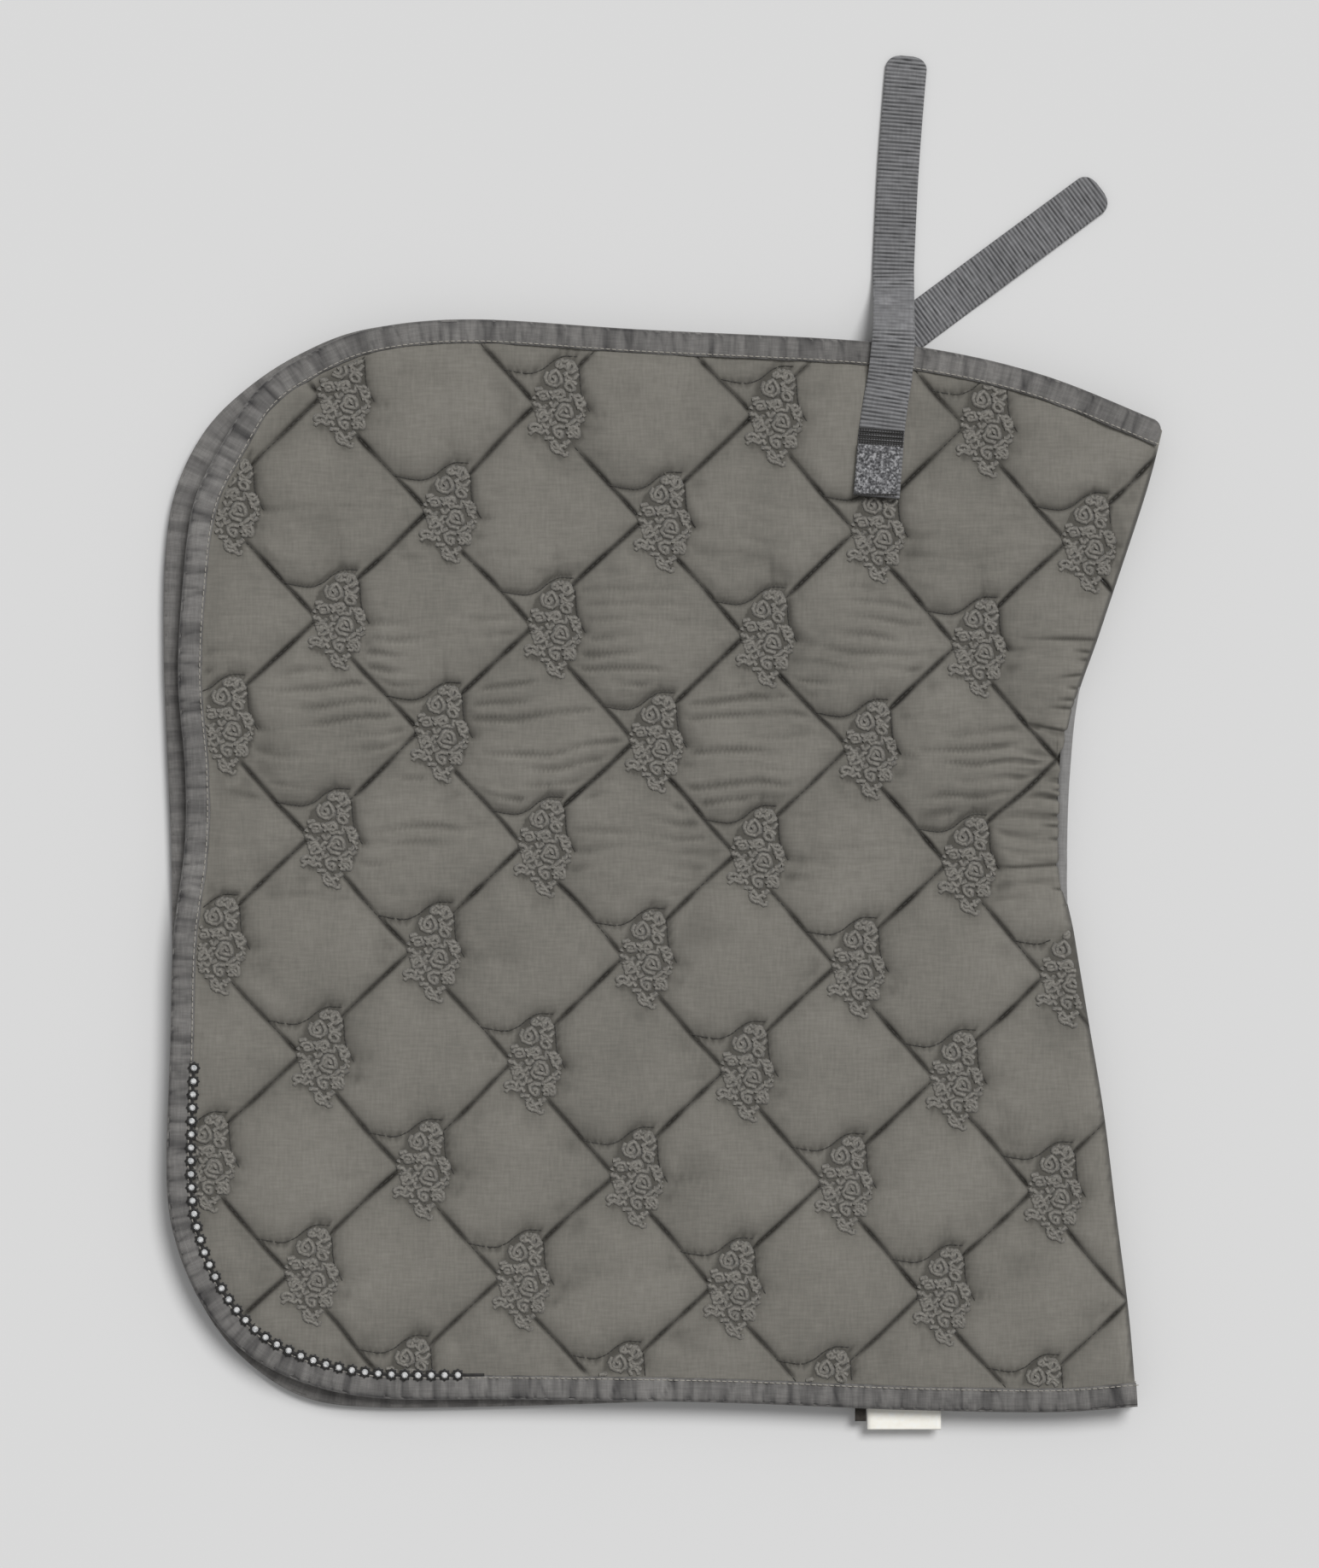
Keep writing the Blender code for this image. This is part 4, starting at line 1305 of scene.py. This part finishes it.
def webbing(name, points, widths, smooth_from=0.0, smooth_to=0.0):
    """A length of ribbed webbing with a rounded tip, its width given at places along y; its
    ribs and their painted shade flatten over a stretch from smooth_from to smooth_to along y."""
    line = evenly(curve_through(points, 1.0), RIB_PITCH / 4)
    lengths = np.arange(len(line)) * RIB_PITCH / 4
    left = lengths[-1] - lengths
    places = places_along(line[:, :2], line[:, 2])
    width = np.interp(line[:, 1], [p[0] for p in widths], [p[1] for p in widths])
    corner = np.clip(left / TIP_ROUND, 0, 1)
    width = width * (0.3 + 0.7 * np.sqrt(1 - (1 - corner) ** 2))
    rib = -RIB_H * np.cos(lengths / RIB_PITCH * 2 * math.pi)
    if smooth_to > smooth_from:
        flat_stretch = step_up(line[:, 1], smooth_from - 4, smooth_from) * (
            1 - step_up(line[:, 1], smooth_to, smooth_to + 4))
        rib = rib * (1 - 0.8 * flat_stretch)
    rings = []
    for across, up in WEBBING_SECTION:
        rise = up * WEBBING_T + np.sign(up) * rib * (abs(up) > 0.4)
        rings.append(places[:, :3, 3] + places[:, :3, 1] * (across * width)[:, None]
                     + places[:, :3, 2] * rise[:, None])
    # Painted shade: the valleys between the ribs are darker, by an amount that varies at random along the
    # strap.
    piece = swept(name, np.stack(rings, 1), WEBBING, lengths, (0.5 - 0.5 * rib / RIB_H) * 0.95)
    uneven_rib_shade = 0.85 + 0.7 * noise_at(*(points_of(piece)[:, :2].T / 1.7), 8.0)
    set_painted_shade(piece, painted_shade_of(piece) * uneven_rib_shade)
    return piece


LEFT_WIDTHS = [(200, 25.6), (238, 25.3), (280, 24.1), (303, 22.9), (448, 22.9)]
RIGHT_WIDTHS = [(200, 25.0), (300, 23.8), (375, 23.3)]
left_strap = webbing("left_strap_ribs", LEFT_STRAP, LEFT_WIDTHS, 297, 317)
right_strap = webbing("right_strap_ribs", RIGHT_STRAP, RIGHT_WIDTHS)
print("strap faces:", len(left_strap.data.polygons), len(right_strap.data.polygons))

# %% [markdown]
# ## Touch tape
#
# A square of loop tape is sewn over the start of each strap, and hook tape lies along the
# strap's underside. Loops are a field of fine fibre, shown here by a lumpy surface; hooks
# are small enough in number to be real stems with a bent head. A bar tack, which is many
# close rows of black thread, holds the strap down just in front of the loops.


# %% Loop patches and hook tapes
def strip(name, start, end, width, low, high, finish, lump=0.0, cells=(24, 24)):
    """A thin soft-edged strip between two points, with an uneven upper face."""
    bm = bmesh.new()
    bmesh.ops.create_grid(bm, x_segments=cells[0], y_segments=cells[1], size=0.5)
    axis = np.subtract(end, start)
    across = np.array([-axis[1], axis[0]]) / np.linalg.norm(axis) * width
    spots = np.array([v.co[:2] for v in bm.verts])
    border = np.abs(spots).max(1) > 0.499
    plan = np.asarray(start) + (spots[:, :1] + 0.5) * axis + spots[:, 1:] * across
    rise = lump * noise_at(plan[:, 0] / 1.3, plan[:, 1] / 1.3, 6.0) * ~border
    for vert, (x, y), extra, edge in zip(bm.verts, plan, rise, border):
        vert.co = (x * MM, y * MM, (high - (0.35 if edge else 0.0) + extra) * MM)
    sheet_faces = bmesh.ops.extrude_face_region(bm, geom=bm.faces[:], use_keep_orig=True)["geom"]
    for vert in [g for g in sheet_faces if isinstance(g, bmesh.types.BMVert)]:
        vert.co.z = low * MM
    bmesh.ops.recalc_face_normals(bm, faces=bm.faces)
    piece = object_from(name, bm)
    flat_map(piece, points_of(piece)[:, :2])
    piece.data.shade_smooth()
    piece.data.materials.append(finish)
    return piece


def hook_shape():
    """One plastic hook: a stem that bends over."""
    bm = bmesh.new()
    bmesh.ops.create_cone(bm, cap_ends=True, segments=5, radius1=0.28, radius2=0.2, depth=0.6)
    tip = [f for f in bm.faces if f.normal.z > 0.5]
    head = bmesh.ops.extrude_face_region(bm, geom=tip)["geom"]
    bmesh.ops.translate(bm, vec=(0.4, 0, 0.1), verts=[g for g in head if isinstance(g, bmesh.types.BMVert)])
    bmesh.ops.delete(bm, geom=tip, context="FACES_ONLY")
    return bm


print("touch tape tools ready")

# %% Patches and tapes in place
LEFT_LOOP, RIGHT_LOOP = ((116.8, 203.4), (118.9, 231.0)), ((117.6, 203.4), (119.7, 229.9))
LEFT_HOOK, RIGHT_HOOK = ((129.0, 345.0), (134.5, 437.0)), ((188.0, 334.4), (234.0, 368.5))
HOOK_W, HOOK_PITCH = 20.0, 2.2
left_loop = strip("left_loop_fibres", *LEFT_LOOP, 23.6, 23.9, 25.2, LOOPS, 0.35)
right_loop = strip("right_loop_fibres", *RIGHT_LOOP, 25.0, 0.35, 1.2, LOOPS)
left_hook = strip("left_hook_backing", *LEFT_HOOK, HOOK_W, 0.7, 1.2, HOOKS, cells=(46, 10))
right_hook = strip("right_hook_backing", *RIGHT_HOOK, HOOK_W, 0.7, 1.2, HOOKS, cells=(28, 10))


def hooks(name, start, end):
    """Rows of hooks under a strap, pointing at the floor."""
    axis = np.subtract(end, start)
    length = np.linalg.norm(axis)
    run = axis / length
    side_way = np.array([-run[1], run[0]])
    rows = np.arange(2.0, length - 1, HOOK_PITCH)
    columns = np.arange(-HOOK_W / 2 + 1.5, HOOK_W / 2 - 1, HOOK_PITCH)
    spots = [np.asarray(start) + run * a + side_way * b for a in rows for b in columns]
    places = places_along(np.array(spots), np.full(len(spots), 0.75))
    places[:, :3, 0], places[:, :3, 1], places[:, :3, 2] = (*run, 0), (*-side_way, 0), (0, 0, -1)
    return scattered(name, hook_shape(), places, HOOKS)


left_hooks = hooks("left_hook_rows", *LEFT_HOOK)
right_hooks = hooks("right_hook_rows", *RIGHT_HOOK)
TACK_STITCHES = 17
TACK_LEVELS = np.arange(231.0, 240.6, 1.2)
STRAP_MIDDLE = ([221.0, 238.5], [119.0, 120.4])
across = np.linspace(-11.6, 11.6, TACK_STITCHES)
tack_places = []
for level in TACK_LEVELS:
    tack_line = np.column_stack([across + np.interp(level, *STRAP_MIDDLE), level - 0.07 * across])
    tack_places.append(places_along(tack_line, np.full(TACK_STITCHES, 24.4)))
hem_line = np.column_stack([np.linspace(-11.4, 11.4, TACK_STITCHES) + 116.8, np.full(TACK_STITCHES, 203.8)])
tack_places.append(places_along(hem_line, np.full(TACK_STITCHES, 25.3)))
left_tack = scattered(
    "left_bar_tack", stitch_shape(*TACK_STITCH), np.concatenate(tack_places), TACK_THREAD)
print("hooks:", len(left_hooks.data.polygons), len(right_hooks.data.polygons), "faces")

# %% [markdown]
# ## Seam tape at the spine
#
# The halves are joined at the spine by a plain tape, bulged like a bent strip. It shows only
# along the waist, where the covers end short of it. Before and behind the waist it sinks in
# between the two shells, so its section slides inwards and grows lower there.

# %% Spine tape
TAPE_PROUD, TAPE_SINK, TAPE_LOWERED = 0.2, 2.4, 0.2
# Half the tape's section: how far inside the spine, and how far above the seam.
TAPE_HALF = [(0.0, 0.0), (0.2, 3.4), (0.9, 5.9), (2.2, 7.1), (3.6, 7.5), (6.6, 7.6), (6.6, 6.6), (3.6, 6.4),
             (2.0, 5.4), (1.4, 3.0)]
TAPE_SECTION = TAPE_HALF + [(1.2, 0.0)] + [(depth, -height) for depth, height in TAPE_HALF[:0:-1]]
tape_line = evenly(spine, 2.0)[2:-2]
tape_inwards = left_normals(tape_line)
away = 1 - at_waist(tape_line[:, 1])
sunk = TAPE_SINK * away - TAPE_PROUD
tape_rings = np.stack([
    np.column_stack([tape_line + tape_inwards * (depth + sunk)[:, None],
                     MID_PLANE + height * (1 - TAPE_LOWERED * away)])
    for depth, height in TAPE_SECTION], 1)
spine_tape = swept("spine_seam_tape", tape_rings, TAPE)
print("spine tape rings:", len(tape_rings))

# %% [markdown]
# ## Labels
#
# A folded satin label and a small woven size tab hang from the rear seam. Both stay blank.
# The label is one strip of cloth folded on itself, so it is drawn as the line of its fold
# and swept along its width.

# %% Care label and size tab
LABEL_COLUMNS = 16
LABEL_STEP = 0.7


def folded_label(name, x0, x1, y0, y1, low, high, finish, thickness, skew=0.0):
    """A strip folded in two: its fold hangs out at y1, and its ends are sewn in at y0."""
    reach = y0 - y1
    arc = (high - low) / 2
    path = [(y0, low), (y0 - reach * 0.4, low - 0.1), (y1 + arc, low), (y1 + 0.05, low + arc),
            (y1 + arc, high), (y0 - reach * 0.45, high + 0.12), (y0, high)]
    line = curve_through(path, LABEL_STEP)
    bm = bmesh.new()
    bmesh.ops.create_grid(bm, x_segments=LABEL_COLUMNS, y_segments=len(line) - 1, size=0.5)
    layer = bm.loops.layers.uv.new("cloth")
    for vert in bm.verts:
        row, column = divmod(vert.index, LABEL_COLUMNS + 1)
        t = column / LABEL_COLUMNS
        y, z = line[row]
        ripple = 0.12 * math.sin(t * 5.0 + y * 0.3)
        vert.co = ((x0 + (x1 - x0) * t + skew * (y0 - y) / reach) * MM, (y + skew * 0.6 * (t - 0.5)) * MM,
                   (z + ripple) * MM)
    for face in bm.faces:
        for corner in face.loops:
            row, column = divmod(corner.vert.index, LABEL_COLUMNS + 1)
            corner[layer].uv = ((x1 - x0) * MM * column / LABEL_COLUMNS, row * LABEL_STEP * MM)
    bmesh.ops.recalc_face_normals(bm, faces=bm.faces)
    piece = object_from(name, bm)
    piece.data.shade_smooth()
    piece.data.materials.append(finish)
    solid = piece.modifiers.new("thickness", "SOLIDIFY")
    solid.thickness = thickness * MM
    solid.offset = 0.0
    return piece


care_label = folded_label("care_label_satin", 113.0, 153.8, -288.0, -312.4, 8.8, 9.5, SATIN, 0.16)
size_tab = folded_label("size_tab_weave", 106.2, 112.4, -288.0, -308.0, 8.8, 9.3, WOVEN_TAB, 0.2)
print("labels ready")

# %% [markdown]
# ## Bind the pieces
#
# Each piece now rides on its body, and the model's nodes that it stands for are hidden. The
# left panel and its binding cross the spine fold, and each strap crosses its own bend, so
# these pieces have their place baked into their meshes instead of riding on a body.

# %% Bodies and nodes
def bind(piece, body=None, nodes=(), bend=None):
    """Hide the nodes a piece stands for; attach it to its body, or bake a bent one in place."""
    if nodes:
        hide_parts(*nodes)
    if bend:
        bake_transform(piece)
    else:
        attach(piece, body)


# Each bend: the two bodies, and where the blend from one to the other starts and ends.
FOLD = ("right_half", "left_half", (0.2215, 0, 0), (0.172, 0, 0))
LEFT_BEND = ("left_half", "left_strap", (0.1195, 0.2300, 0), (0.1215, 0.2490, 0))
RIGHT_BEND = ("right_half", "right_strap", (0.1430, 0.3005, 0), (0.1585, 0.3121, 0))

bind(panels["left"], bend=FOLD,
     nodes=("left_cover", "left_wadding", "left_lining", "spine_margin_cover", "spine_margin_wadding",
            "spine_margin_lining"))
bind(panels["right"], "right_half", ("right_cover", "right_wadding", "right_lining"))
bind(bindings["left"], bend=FOLD,
     nodes=("left_edge_binding", "front_binding_end", "rear_binding_end"))
bind(bindings["right"], "right_half", ("right_edge_binding",))
bind(edge_stitches["left"], bend=FOLD)
bind(edge_stitches["right"], "right_half")
bind(quilting["left"], bend=FOLD)
bind(quilting["right"], "right_half")
bind(ornaments["left"], bend=FOLD)
bind(ornaments["right"], "right_half")
for side, body in (("left", "left_half"), ("right", "right_half")):
    bind(crystals[side], body, (side + "_bead_trim",))
    bind(cups[side], body)
    bind(cords[side], body)
bind(left_strap, nodes=("left_strap_base", "left_strap_webbing"), bend=LEFT_BEND)
bind(right_strap, nodes=("right_strap_base", "right_strap_webbing"), bend=RIGHT_BEND)
bind(left_loop, "left_half", ("left_loop_patch",))
bind(right_loop, "right_half", ("right_loop_patch",))
bind(left_tack, "left_half")
bind(left_hook, "left_strap", ("left_hook_tape",))
bind(right_hook, "right_strap", ("right_hook_tape",))
bind(left_hooks, "left_strap")
bind(right_hooks, "right_strap")
bind(spine_tape, "right_half", ("spine_tape",))
bind(care_label, "right_half", ("care_label",))
bind(size_tab, "right_half", ("size_tab",))
print("pieces bound")

# %% [markdown]
# ## The size of what is shown
#
# The last step measures the box of every piece that is shown.

# %% Measure the box of what is shown
low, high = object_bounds()
